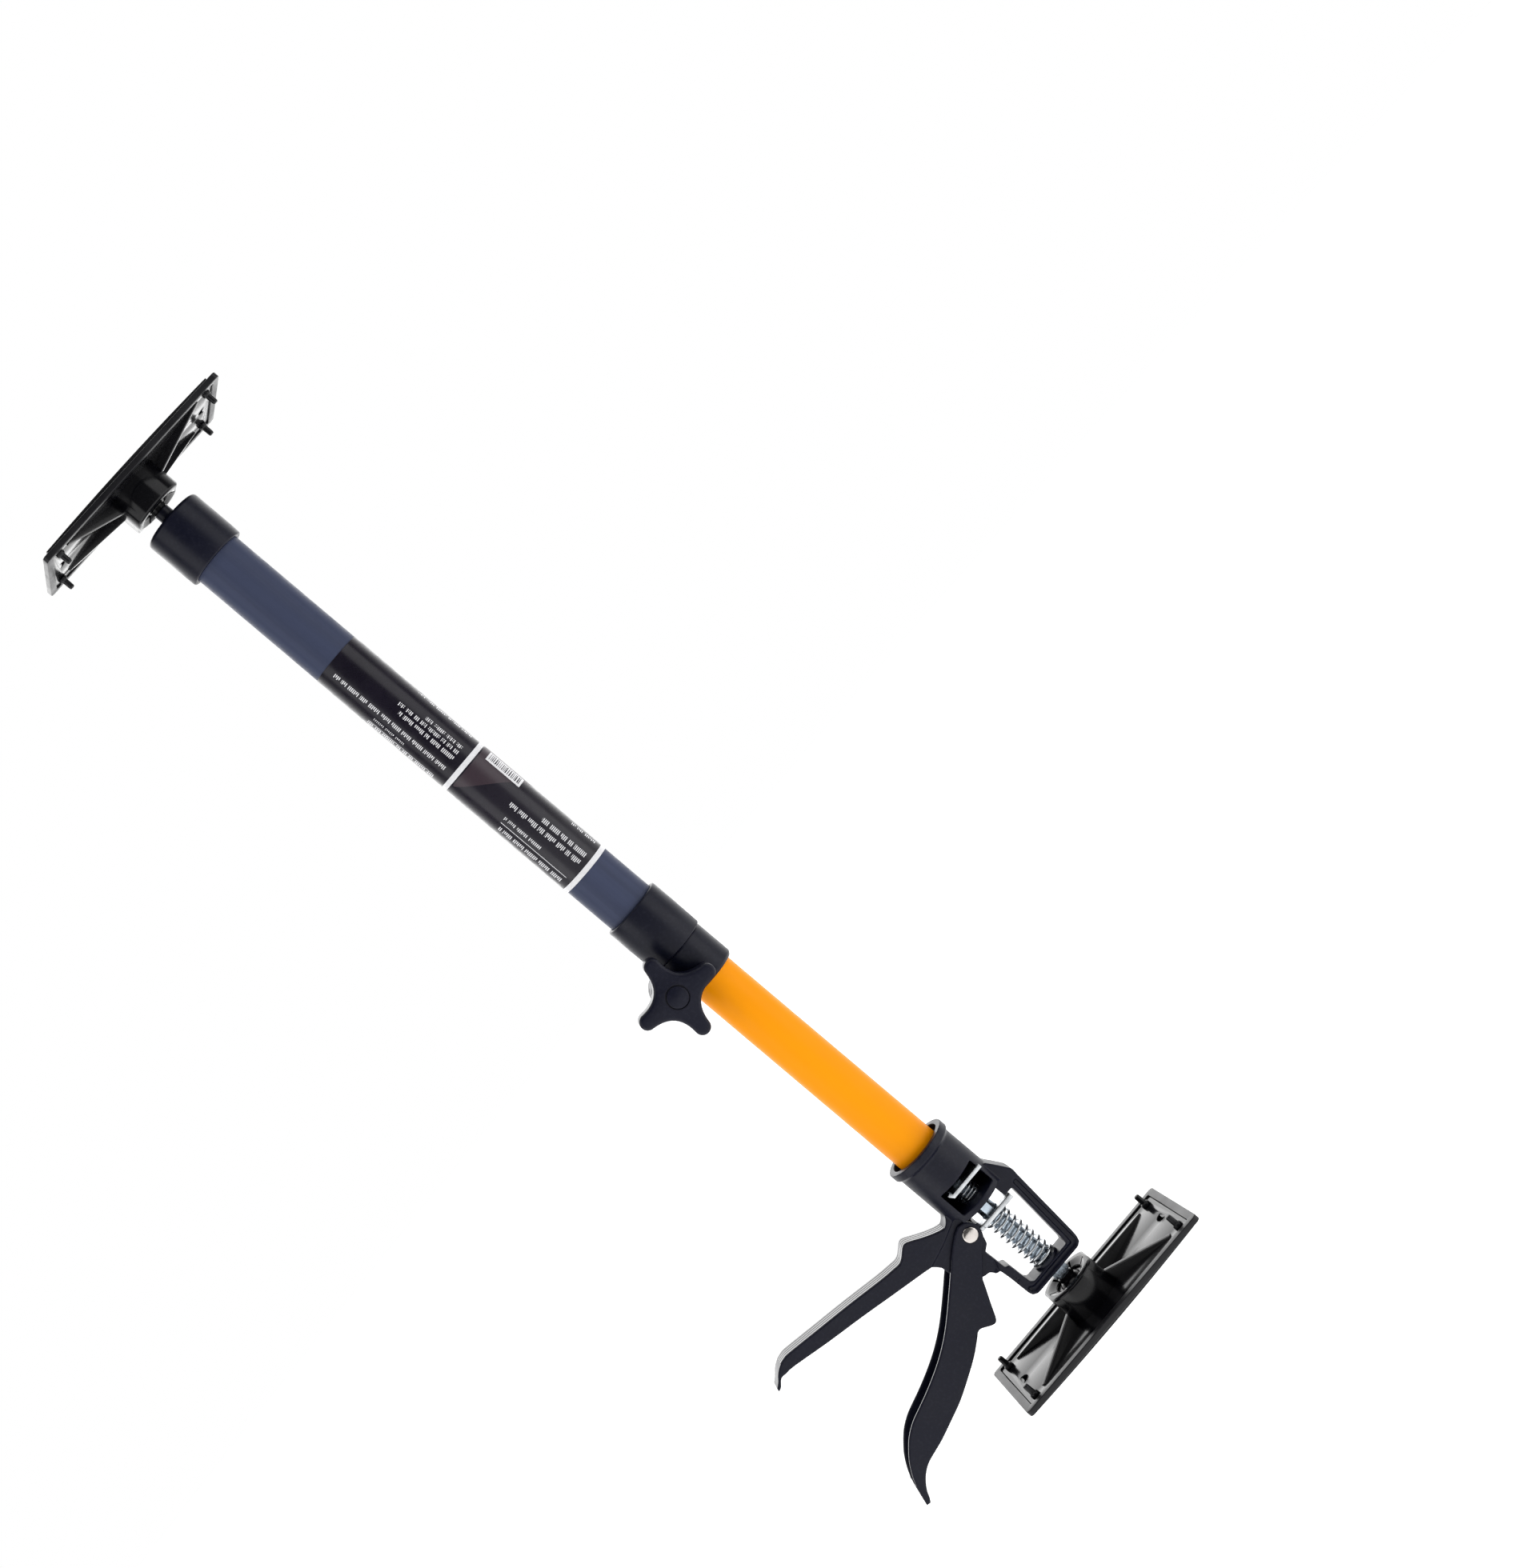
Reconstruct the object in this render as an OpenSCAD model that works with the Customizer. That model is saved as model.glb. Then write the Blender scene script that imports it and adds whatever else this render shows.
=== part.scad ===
// Telescopic support prop, millimetres.
// +Z runs up the tubes from the foot to the head, the grip and trigger reach to -X,
// and the clamp knob faces -Y. The origin is the centre of the foot's bearing face.
// The tubes are drawn pulled out by `extension`; the push rod is drawn fully retracted.

/* [Lengths] */
// Length from foot face to head face with both slides closed
closed_length = 500; // [450:5:600]
// How far the outer tube is drawn pulled out
extension = 132; // [0:1:170]
// Travel of the outer tube over the inner tube
tube_travel = 305; // [200:5:305]
// Travel of the push rod out of the housing
rod_travel = 345; // [200:5:345]

/* [Tubes] */
// Outer tube diameter
outer_d = 28.6; // [28:0.1:32]
// Inner tube diameter
inner_d = 25; // [22:0.1:26]
// Wall of both tubes
wall = 1.2; // [1:0.1:2]
// Push rod hexagon across its corners
rod_d = 9.2; // [8:0.1:10]

/* [Pads] */
// Pad length along X
pad_l = 125; // [100:1:150]
// Pad width along Y
pad_w = 73; // [60:1:90]
// Turn of the head pad about the tube
head_turn = 12; // [-45:1:45]

/* [Collars] */
// Diameter of the fixed sleeve at the end of the outer tube
sleeve_d = 33.2; // [32:0.1:36]
// Diameter of the split clamp ring
clamp_d = 31; // [30:0.1:34]
// Distance of the clamp screw from the tube axis
screw_x = -18.4; // [-22:0.1:-17]
// Reach of the knob lobes from the screw axis
knob_r = 23; // [18:0.5:28]

/* [Mechanism] */
// Half depth of the housing frame
frame_y = 7.5; // [7.5:0.1:9]
// Half depth of the grip
grip_y = 6.5; // [6:0.1:8]
// Half depth of the trigger
trigger_y = 7.9; // [7.5:0.1:9]
// Trigger sheet thickness
trigger_t = 1.8; // [1.2:0.1:2.5]

/* [Hidden] */
$fn = 64;
head_z = closed_length + extension;
rim_z = 120.4;
clamp_z = rim_z + extension;
sleeve_z = clamp_z + 22;
sleeve_top = clamp_z + 51.8;
cap_z = head_z - 60.4;
cap_top = head_z - 29.7;
cap_r = 17.3;
outer_r = outer_d / 2;
outer_bore = outer_r - wall;
inner_r = inner_d / 2;
inner_bore = inner_r - wall;
inner_bottom = 100.4;
inner_top = rim_z + tube_travel + 37.6;
rod_top = rod_travel + 115;
label_z = 333;
label_h = 162;
ball_h = 15.2;
ball_r = 7.5;
cup_r = 8.75;
socket_r = 8.8;
hub_h = 22;
hub_r = 16.5;
hub_flat = 14.3;
neck_r = 4.3;
neck_h = 23.6;
shank_r = 3;
plate_z = 3;
plate_t = 2.2;
rod_r = rod_d / 2;
barrel_z = 80.5;
chamber_z = 83.9;
chamber_h = 14.6;
pivot = [-15.1, 73.7];
knob_z = clamp_z + 9.4;

// ---- helpers -------------------------------------------------------------------

// Draws a profile given in X and Z as a slab between two Y values.
module slab(y0, y1) {
    translate([0, y1, 0])
        rotate([90, 0, 0])
            linear_extrude(height = y1 - y0)
                children();
}

// Cylinder along Y.
module rod_y(r, y0, y1) {
    translate([0, y1, 0])
        rotate([90, 0, 0])
            cylinder(r = r, h = y1 - y0);
}

module ring(ro, ri, h) {
    difference() {
        cylinder(r = ro, h = h);
        translate([0, 0, -1])
            cylinder(r = ri, h = h + 2);
    }
}

// Catmull-Rom curve through an open path, n steps to a span.
function curve(p, n = 3) = concat(
    [
        for (i = [0 : len(p) - 2])
            let (a = p[max(i - 1, 0)], b = p[i], c = p[i + 1], d = p[min(i + 2, len(p) - 1)])
            for (k = [0 : n - 1])
                let (t = k / n)
                (2 * b + (c - a) * t + (2 * a - 5 * b + 4 * c - d) * t * t
                    + (3 * b - a - 3 * c + d) * t * t * t) / 2
    ],
    [p[len(p) - 1]]
);

// Rectangle with round corners, as one exact profile.
module rounded(l, w, r) {
    square([l - 2 * r, w], center = true);
    square([l, w - 2 * r], center = true);
    for (x = [-1, 1])
        for (y = [-1, 1])
            translate([x * (l / 2 - r), y * (w / 2 - r)])
                circle(r = r);
}

// Closed helical wire, n coils from z0 to z1, mean radius r and wire radius w.
module helix(z0, z1, n, r, w, steps = 18, sides = 6) {
    count = n * steps;
    pts = [
        for (i = [0 : count])
            let (t = i / count, a = 360 * n * t, z = z0 + w + (z1 - z0 - 2 * w) * t)
            for (j = [0 : sides - 1])
                let (b = 360 * j / sides, q = r + w * cos(b))
                [q * cos(a), q * sin(a), z + w * sin(b)]
    ];
    sides_f = [
        for (i = [0 : count - 1])
            for (j = [0 : sides - 1])
                let (k = (j + 1) % sides, a = i * sides, b = (i + 1) * sides)
                [a + j, a + k, b + k, b + j]
    ];
    first = [for (j = [sides - 1 : -1 : 0]) j];
    last = [for (j = [0 : sides - 1]) count * sides + j];
    polyhedron(points = pts, faces = concat([first], sides_f, [last]));
}

// ---- housing profile, X and Z ----------------------------------------------------

function grip_top() = curve([
    [-134.5, 96.7], [-131.5, 98.6], [-128.5, 101.2], [-124.5, 103.2], [-120.5, 103.9],
    [-117.5, 103.7], [-100.5, 100.4], [-80.3, 96.5], [-60.2, 92.2], [-52.2, 90.9],
    [-48.7, 90.4], [-46.2, 91.2], [-42.2, 94], [-40, 95], [-38, 94.4], [-30, 89.2],
    [-23, 85.6], [-20, 85.3], [-17, 87.7], [-15, 91.2]
]);
function grip_low() = curve([
    [-36.6, 73.1], [-39.1, 76.6], [-42.2, 78.1], [-60.2, 82.6], [-80.3, 87.7],
    [-100.4, 92.4], [-120.4, 97.6], [-125.4, 98.2], [-129, 98.6], [-132.5, 95.9],
    [-134.8, 95.2]
]);
function lug_edge() = curve([
    [-15, 50.7], [-20.6, 50.7], [-23.1, 53.7], [-26.6, 54.7], [-31.5, 58.7],
    [-34.8, 64], [-36.4, 69.5]
]);
function frame_out() = [
    [16.6, 91], [20.1, 84.9], [22.8, 79.8], [23.1, 78], [22.6, 74.8], [18.9, 36.6],
    [18.3, 33], [17.2, 30.6], [15.2, 29.5], [13.5, 29.3], [-13.6, 29.3], [-15.6, 29.6],
    [-17.6, 30.9], [-18.3, 33], [-18.6, 44.5], [-19.1, 50.7], [-15, 60], [-15, 91]
];
function frame_in() = [
    [-11.6, barrel_z], [10.6, barrel_z], [10.6, 73], [16, 73], [12.6, 36.5], [12.1, 34.8],
    [-12.1, 34.8], [-13.6, 36.5], [-14.1, 49.2], [-16.2, 50.2], [-16.7, 61.8],
    [-13, 64], [-11.6, 67]
];

// ---- housing body ------------------------------------------------------------------

module grip_solid() {
    difference() {
        slab(-grip_y, grip_y)
            polygon(concat(grip_top(), [[-15, 64]], lug_edge(), grip_low()));
        // Hollow, open along the lower edge.
        slab(1.8 - grip_y, grip_y - 1.8)
            polygon([[-122, 90], [-121, 100.8], [-100, 97.2], [-60, 89], [-50, 87.4],
                     [-42, 90], [-39, 88.5], [-38, 70], [-60, 75], [-100, 85]]);
    }
}

module housing() {
    color("#202123")
        difference() {
            union() {
                translate([0, 0, barrel_z])
                    cylinder(r = 17, h = rim_z - barrel_z);
                translate([0, 0, rim_z - 4])
                    cylinder(r = 18.5, h = 4);
                translate([0, 0, rim_z - 5.6])
                    cylinder(r1 = 17, r2 = 18.5, h = 1.6);
                // Frame with a thinner outer flange round it.
                slab(-frame_y, frame_y)
                    polygon(frame_out());
                grip_solid();
            }
            // Trigger cheeks pass each side of the lug.
            for (s = [-1, 1])
                translate([0, s * 8.4, 0])
                    slab(-2.5, 2.5)
                        polygon([[-43, 62], [-40, 56], [-19.6, 51.5], [-12, 62], [-5.6, 68],
                                 [-5.6, 77.4], [-9, 82.4], [-15, 84.6], [-26.5, 80.6],
                                 [-34, 78.8], [-43, 76.9]]);
            for (s = [-1, 1])
                translate([pivot[0], s * 8.4, pivot[1]])
                    rod_y(8.2, -2.5, 2.5);
            slab(-20, 20)
                polygon(frame_in());
            // Recess down each face of the frame.
            for (s = [-1, 1])
                translate([0, s * 8.2, 0])
                    slab(-2, 2)
                        polygon([[20.6, 74.4], [18.2, 74.4], [14.6, 36.2], [14, 33.4],
                                 [-14, 33.4], [-16.2, 35], [-16.6, 46], [-17.2, 46],
                                 [-17, 32.6], [-15.2, 30.8], [15, 30.8], [17, 32.4]]);
            // Brake chamber with its window on the -Y side.
            translate([0, 0, chamber_z])
                cylinder(r = 13.3, h = chamber_h);
            translate([-10, -20, chamber_z])
                cube([22.7, 15, chamber_h]);
            // Socket for the inner tube and the rod's way through.
            translate([0, 0, rim_z - 4])
                cylinder(r = 15.2, h = 10);
            translate([0, 0, inner_bottom])
                cylinder(r = inner_r, h = 30);
            translate([0, 0, 75])
                cylinder(r = 5.2, h = 35);
            translate([0, 0, 25])
                cylinder(r = 6, h = 15);
            translate([pivot[0], 0, pivot[1]])
                rod_y(2.5, -10, 10);
            translate([0, 0, 110])
                rotate([-90, 0, 0])
                    cylinder(r = 2, h = 20);
        }
}

module inner_tube() {
    color("#fda000")
        difference() {
            translate([0, 0, inner_bottom])
                ring(inner_r, inner_bore, inner_top - 4 - inner_bottom);
            translate([0, 0, 110])
                rotate([-90, 0, 0])
                    cylinder(r = 2, h = 20);
        }
}

module tube_rivet() {
    color("#a8abb0")
        translate([0, 10.6, 110])
            rotate([-90, 0, 0])
                difference() {
                    union() {
                        translate([0, 0, 0.9])
                            cylinder(r = 2, h = 7);
                        translate([0, 0, 6.9])
                            cylinder(r = 3.4, h = 1);
                    }
                    translate([0, 0, 7.3])
                        cylinder(r = 1, h = 2);
                }
}

module rod_guide() {
    color("#e6e4dc")
        translate([0, 0, inner_bottom])
            ring(inner_bore, rod_r + 0.06, 9.4);
}

module spring_seat() {
    color("#17181a")
        difference() {
            union() {
                translate([0, 0, 34.8])
                    cylinder(r = 7.3, h = 1.5);
                translate([0, 0, 28.9])
                    cylinder(r = 6, h = 6);
            }
            translate([0, 0, 20])
                cylinder(r = rod_r + 0.06, h = 20);
        }
}

module tube_bush() {
    color("#e6e4dc")
        difference() {
            union() {
                translate([0, 0, inner_top - 4])
                    cylinder(r = outer_bore - 0.08, h = 4);
                translate([0, 0, inner_top - 14])
                    cylinder(r = inner_bore, h = 11);
            }
            translate([0, 0, inner_top - 20])
                cylinder(r = 9.9, h = 30);
        }
}

module trigger_pin() {
    color("#b9bcc0")
        translate([pivot[0], 0, pivot[1]]) {
            rod_y(2.5, -trigger_y - 0.1, trigger_y + 0.1);
            for (s = [-1, 1])
                translate([0, s * (trigger_y + 0.1), 0])
                    rotate([s * -90, 0, 0]) {
                        cylinder(r = 4, h = 0.7);
                        translate([0, 0, 0.7])
                            cylinder(r1 = 4, r2 = 3.2, h = 0.5);
                    }
        }
}

module drive_spring() {
    color("#9fa4aa")
        helix(36.3, 69.2, 9, 6.45, 0.7);
}

module release_spring() {
    color("#9fa4aa")
        helix(chamber_z, 92.4, 4, 5.9, 0.5);
}

// ---- trigger -----------------------------------------------------------------------

function trigger_top() = curve([
    [-20.3, 79.3], [-28.2, 74.5], [-34.2, 69.9], [-40.2, 65.5], [-50.3, 58.3],
    [-60.3, 51.7], [-70.4, 46.4], [-80.5, 42.4], [-90.5, 39.2], [-100.6, 36.5],
    [-105, 35], [-110.8, 32], [-116.7, 27.2], [-120.7, 23.2], [-124.7, 17.6],
    [-127.6, 11.8], [-129.6, 6.2], [-130.4, 4]
]);
function trigger_low() = curve([
    [-128.2, 3.4], [-126.5, 5.6], [-124.5, 9], [-120.6, 13], [-116.6, 15.6],
    [-112.5, 17.1], [-105.6, 18.3], [-100.6, 19.2], [-90.5, 21.8], [-80.5, 24.6],
    [-70.4, 28.6], [-60.3, 33.1], [-52.3, 37.7], [-48.8, 39.9], [-46.3, 39.4],
    [-42.2, 36.7], [-39.7, 36.2], [-37.7, 38.2], [-34.2, 44.2], [-30.2, 50.7]
]);
function trigger_nose() = curve([
    [-27.8, 54.8], [-24.1, 58], [-20.3, 61.3], [-17.2, 64.2], [-13.9, 65.9],
    [-11.3, 68.4], [-9.8, 71.2], [-9.3, 74.2], [-10.2, 77.6], [-12.8, 80], [-16.3, 80.8]
]);

// Space between the two cheeks: above the finger wall, open along the top and at the nose.
function trigger_channel() = concat(
    curve([
        [-128.4, 7.2], [-126.2, 10.6], [-122, 14.8], [-117.4, 17.7], [-113, 19.3],
        [-106, 20.5], [-101.1, 21.4], [-91.1, 24], [-81.2, 26.8], [-71.2, 30.7],
        [-61.3, 35.2], [-53.4, 39.7], [-49.4, 42.1], [-46, 41.7], [-42.6, 39.6],
        [-40, 40.2], [-36.1, 45.3], [-32, 51.9]
    ]),
    [[-24, 49.2], [4, 49.2], [4, 96], [-140, 96], [-140, 7.2]]
);

module trigger() {
    color("#202123")
        difference() {
            union() {
                difference() {
                    slab(-trigger_y, trigger_y)
                        polygon(concat(trigger_top(), trigger_low(), trigger_nose()));
                    slab(-trigger_y + trigger_t, trigger_y - trigger_t)
                        polygon(trigger_channel());
                }
                // Nose bar that presses the drive plate.
                slab(-trigger_y + 1, trigger_y - 1)
                    polygon([[-10.3, 72.3], [-8.2, 72.3], [-8.2, 74.6], [-10.3, 74.6]]);
            }
            translate([pivot[0], 0, pivot[1]])
                rod_y(2.56, -10, 10);
        }
}

// ---- plates ------------------------------------------------------------------------

module drive_plate() {
    color("#b9bcc0")
        difference() {
            union() {
                translate([-10, -5.8, 69.3])
                    cube([20, 11.6, 2.5]);
                translate([-7.6, -7, 69.3])
                    cube([20.6, 14, 2.5]);
            }
            translate([0, 0, 60])
                cylinder(r = 4.9, h = 15);
        }
}

module release_plate() {
    color("#b9bcc0")
        difference() {
            union() {
                slab(-6, 6)
                    polygon([[-7.6, 94.7], [-6.2, 92.6], [11.6, 92.6], [11.6, 94.6],
                             [-5.4, 94.6], [-6.2, 96.2], [-7.9, 95.7]]);
                translate([7.6, 0, 92.6])
                    intersection() {
                        cylinder(r = 5.3, h = 2);
                        translate([0, -6, 0])
                            cube([6, 12, 2]);
                    }
                // Finger edge that stands out of the window.
                slab(-13.5, -5.9)
                    polygon([[-7.6, 94.7], [-6.2, 92.6], [11.8, 92.6], [11.8, 94.6],
                             [-5.4, 94.6], [-6.2, 96.2], [-7.9, 95.7]]);
                translate([11.7, -13.5, 92.6])
                    cube([2.4, 2.1, 2]);
            }
            translate([0, 0, 90])
                cylinder(r = 5.2, h = 10);
        }
}

// ---- push rod ----------------------------------------------------------------------

module push_rod() {
    color("#b4bcc4") {
        translate([0, 0, neck_h + 0.2])
            cylinder(r = rod_r, h = rod_top - neck_h - 0.2, $fn = 6);
        translate([0, 0, ball_h - 4])
            cylinder(r = shank_r, h = 14);
    }
}

module rod_stop() {
    color("#e6e4dc")
        difference() {
            translate([0, 0, rod_top - 5])
                cylinder(r = 9.6, h = 5);
            translate([0, 0, rod_top - 10])
                cylinder(r = rod_r, h = 15, $fn = 6);
        }
}

// ---- swivel pads -------------------------------------------------------------------
// Drawn for the foot; the head uses the same pieces turned over.

module pad_ball() {
    difference() {
        union() {
            translate([0, 0, ball_h])
                sphere(r = ball_r);
            translate([0, 0, ball_h])
                cylinder(r = neck_r, h = neck_h - ball_h);
        }
        translate([0, 0, ball_h - 4.2])
            cylinder(r = shank_r + 0.05, h = 15);
    }
}

module pad_cup() {
    difference() {
        translate([0, 0, ball_h])
            sphere(r = cup_r);
        translate([0, 0, ball_h])
            sphere(r = ball_r + 0.05);
        translate([-15, -15, ball_h + 4])
            cube([30, 30, 15]);
    }
}

module pad_plate() {
    rib_a = atan2(28, 50);
    difference() {
        union() {
            translate([0, 0, plate_z])
                linear_extrude(height = plate_t)
                    rounded(pad_l - 8.4, pad_w - 8.4, 2);
            // Round hub with flat ends.
            translate([0, 0, plate_z])
                linear_extrude(height = hub_h - plate_z)
                    intersection() {
                        circle(r = hub_r);
                        square([2 * hub_flat, 2 * hub_r], center = true);
                    }
            for (a = [rib_a, -rib_a, 180 - rib_a, 180 + rib_a])
                rotate([0, 0, a])
                    slab(-1.6, 1.6)
                        polygon([[9, 4], [55, 4], [55, 6.4], [14, 12.6], [9, 12.6]]);
        }
        translate([0, 0, ball_h])
            sphere(r = socket_r);
        translate([0, 0, ball_h + 4.2])
            cylinder(r = 7.72, h = 15);
        // Seat for the retaining ring.
        translate([0, 0, ball_h + 4.6])
            cylinder(r = 12.6, h = 15);
        for (x = [-1, 1])
            for (y = [-1, 1])
                translate([x * 53.5, y * 26.5, 0])
                    cylinder(r = 1.9, h = 10);
    }
}

module pad_rubber() {
    difference() {
        union() {
            linear_extrude(height = 2)
                rounded(pad_l - 9, pad_w - 9, 2);
            translate([0, 0, 1.3])
                linear_extrude(height = 4.7)
                    rounded(pad_l, pad_w, 2.5);
        }
        translate([0, 0, plate_z])
            linear_extrude(height = 10)
                rounded(pad_l - 8.4, pad_w - 8.4, 2);
    }
}

module pad_plugs() {
    for (x = [-1, 1])
        for (y = [-1, 1])
            translate([x * 53.5, y * 26.5, plate_z]) {
                cylinder(r = 1.9, h = plate_t);
                translate([0, 0, plate_t])
                    cylinder(r1 = 2.5, r2 = 1.9, h = 1.6);
                translate([0, 0, plate_t + 1.6])
                    cylinder(r1 = 1.9, r2 = 1.2, h = 5.6);
            }
}

module pad_retainer() {
    low = ball_h + 4.6;
    difference() {
        translate([0, 0, low])
            cylinder(r = 12.6, h = hub_h - low);
        // Dished mouth round the neck.
        translate([0, 0, low - 0.1])
            cylinder(r1 = 8.6, r2 = 12.1, h = hub_h - low + 0.2);
        // Slots that part the ring into petals.
        for (a = [0 : 60 : 120])
            rotate([0, 0, a + 30])
                translate([-20, -0.6, low + 0.8])
                    cube([40, 1.2, 10]);
    }
}

module head() {
    translate([0, 0, head_z])
        mirror([0, 0, 1])
            rotate([0, 0, head_turn])
                children();
}

module foot_ball() {
    color("#141416")
        pad_ball();
}

module foot_cup() {
    color("#e6e4dc")
        pad_cup();
}

module foot_plate() {
    color("#1b1c1f")
        pad_plate();
}

module foot_rubber() {
    color("#2a2a2c")
        pad_rubber();
}

module foot_plugs() {
    color("#2a2a2c")
        pad_plugs();
}

module foot_retainer() {
    color("#1b1c1f")
        pad_retainer();
}

module top_ball() {
    color("#141416")
        head()
            pad_ball();
}

module top_cup() {
    color("#e6e4dc")
        head()
            pad_cup();
}

module top_plate() {
    color("#1b1c1f")
        head()
            pad_plate();
}

module top_rubber() {
    color("#2a2a2c")
        head()
            pad_rubber();
}

module top_plugs() {
    color("#2a2a2c")
        head()
            pad_plugs();
}

module top_retainer() {
    color("#1b1c1f")
        head()
            pad_retainer();
}

// ---- outer tube group ----------------------------------------------------------------

module outer_tube() {
    color("#464e66")
        translate([0, 0, sleeve_z + 2])
            ring(outer_r, outer_bore, cap_top - 3 - sleeve_z - 2);
}

module label_wrap() {
    color("#121214")
        translate([0, 0, label_z])
            ring(outer_r + 0.25, outer_r, label_h);
}

module collar_sleeve() {
    color("#1b1c1f")
        difference() {
            union() {
                translate([0, 0, sleeve_z])
                    cylinder(r = sleeve_d / 2, h = sleeve_top - sleeve_z - 1);
                translate([0, 0, sleeve_top - 1])
                    cylinder(r1 = sleeve_d / 2, r2 = sleeve_d / 2 - 0.8, h = 1);
            }
            translate([0, 0, sleeve_z + 2])
                cylinder(r = outer_r, h = 60);
            translate([0, 0, sleeve_z - 1])
                cylinder(r = inner_r + 0.3, h = 10);
        }
}

module clamp_collar() {
    color("#1b1c1f")
        difference() {
            union() {
                translate([0, 0, clamp_z + 1.5])
                    cylinder(r = clamp_d / 2, h = 20.5);
                translate([0, 0, clamp_z])
                    cylinder(r1 = clamp_d / 2 - 1.2, r2 = clamp_d / 2, h = 1.5);
                translate([screw_x, 0, knob_z + 1])
                    rod_y(10.4, -11, 11);
            }
            // Split between the two ears.
            translate([-40, -1, clamp_z - 5])
                cube([40, 2, 23.5]);
            translate([0, 0, clamp_z - 1])
                cylinder(r = inner_r + 0.8, h = 40);
            translate([screw_x - 15, -20, clamp_z + 22])
                cube([30, 40, 10]);
            translate([screw_x - 15, -20, clamp_z - 10])
                cube([30, 40, 10]);
            translate([screw_x, 0, knob_z])
                rod_y(3.1, -20, 20);
            translate([screw_x, 0, knob_z])
                rotate([-90, 0, 0])
                    translate([0, 0, 7])
                        cylinder(r = 5.9, h = 10, $fn = 6);
        }
}

module clamp_liner() {
    color("#e6e4dc")
        difference() {
            translate([0, 0, clamp_z + 0.6])
                ring(inner_r + 0.8, inner_r + 0.06, 21);
            translate([-20, -0.8, clamp_z - 5])
                cube([20, 1.6, 40]);
        }
}

module clamp_screw() {
    color("#b9bcc0")
        translate([screw_x, 0, knob_z]) {
            rod_y(3, -22, 12.5);
            translate([0, -12.2, 0])
                rod_y(6.5, -0.6, 1.2);
        }
}

module clamp_nut() {
    color("#b9bcc0")
        translate([screw_x, 7.1, knob_z])
            rotate([-90, 0, 0])
                difference() {
                    cylinder(r = 5.77, h = 4.8, $fn = 6);
                    translate([0, 0, -1])
                        cylinder(r = 3, h = 10);
                }
}

module knob() {
    lobe = 4.2;
    reach = knob_r - lobe;
    color("#17181a")
        translate([screw_x, 0, knob_z])
            difference() {
                union() {
                    rod_y(12.4, -29, -15.6);
                    for (a = [80.5 : 90 : 350.5])
                        rotate([0, -a, 0]) {
                            translate([reach, 0, 0])
                                rod_y(lobe, -28.5, -16.9);
                            slab(-28.5, -16.9)
                                polygon([[6, -8.6], [13.5, -5.6], [reach, -lobe],
                                         [reach, lobe], [13.5, 5.6], [6, 8.6]]);
                        }
                    rod_y(9, -15.7, -12.9);
                }
                rod_y(3.05, -22.2, 0);
                rod_y(5.6, -40, -28.2);
            }
}

module knob_cap() {
    color("#232427")
        translate([screw_x, 0, knob_z]) {
            rod_y(5.55, -29.4, -28.2);
        }
}

module top_cap() {
    color("#1b1c1f")
        difference() {
            union() {
                translate([0, 0, cap_z])
                    cylinder(r = cap_r, h = cap_top - cap_z - 2);
                translate([0, 0, cap_top - 2])
                    rotate_extrude()
                        intersection() {
                            union() {
                                square([cap_r - 2, 2]);
                                translate([cap_r - 2, 0])
                                    circle(r = 2);
                            }
                            square([cap_r, 2]);
                        }
            }
            translate([0, 0, cap_z - 1])
                cylinder(r = outer_r, h = cap_top - cap_z - 2);
            translate([0, 0, cap_z])
                cylinder(r = 3, h = 60);
        }
}

module top_stud() {
    color("#1b1c1f")
        translate([0, 0, cap_top]) {
            // Flared root, neck and the shank inside the ball.
            rotate_extrude()
                difference() {
                    square([6.2, 2]);
                    translate([6.3, 2])
                        circle(r = 2);
                }
            cylinder(r = neck_r, h = head_z - neck_h - 0.2 - cap_top);
            cylinder(r = shank_r, h = head_z - ball_h + 4 - cap_top);
            translate([0, 0, -5])
                cylinder(r = 3, h = 6);
            translate([0, 0, -6])
                cylinder(r = 9, h = 2.6);
        }
}

// ---- nodes -------------------------------------------------------------------------

housing();
inner_tube();
tube_rivet();
rod_guide();
spring_seat();
tube_bush();
trigger_pin();
drive_spring();
release_spring();
trigger();
drive_plate();
release_plate();
push_rod();
rod_stop();
foot_ball();
foot_cup();
foot_plate();
foot_rubber();
foot_plugs();
foot_retainer();
outer_tube();
label_wrap();
collar_sleeve();
clamp_collar();
clamp_liner();
clamp_screw();
clamp_nut();
knob();
knob_cap();
top_cap();
top_stud();
top_ball();
top_cup();
top_plate();
top_rubber();
top_plugs();
top_retainer();
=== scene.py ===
import math
import random

import bmesh
import bpy
from mathutils import Matrix, Vector
from mathutils.bvhtree import BVHTree


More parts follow.
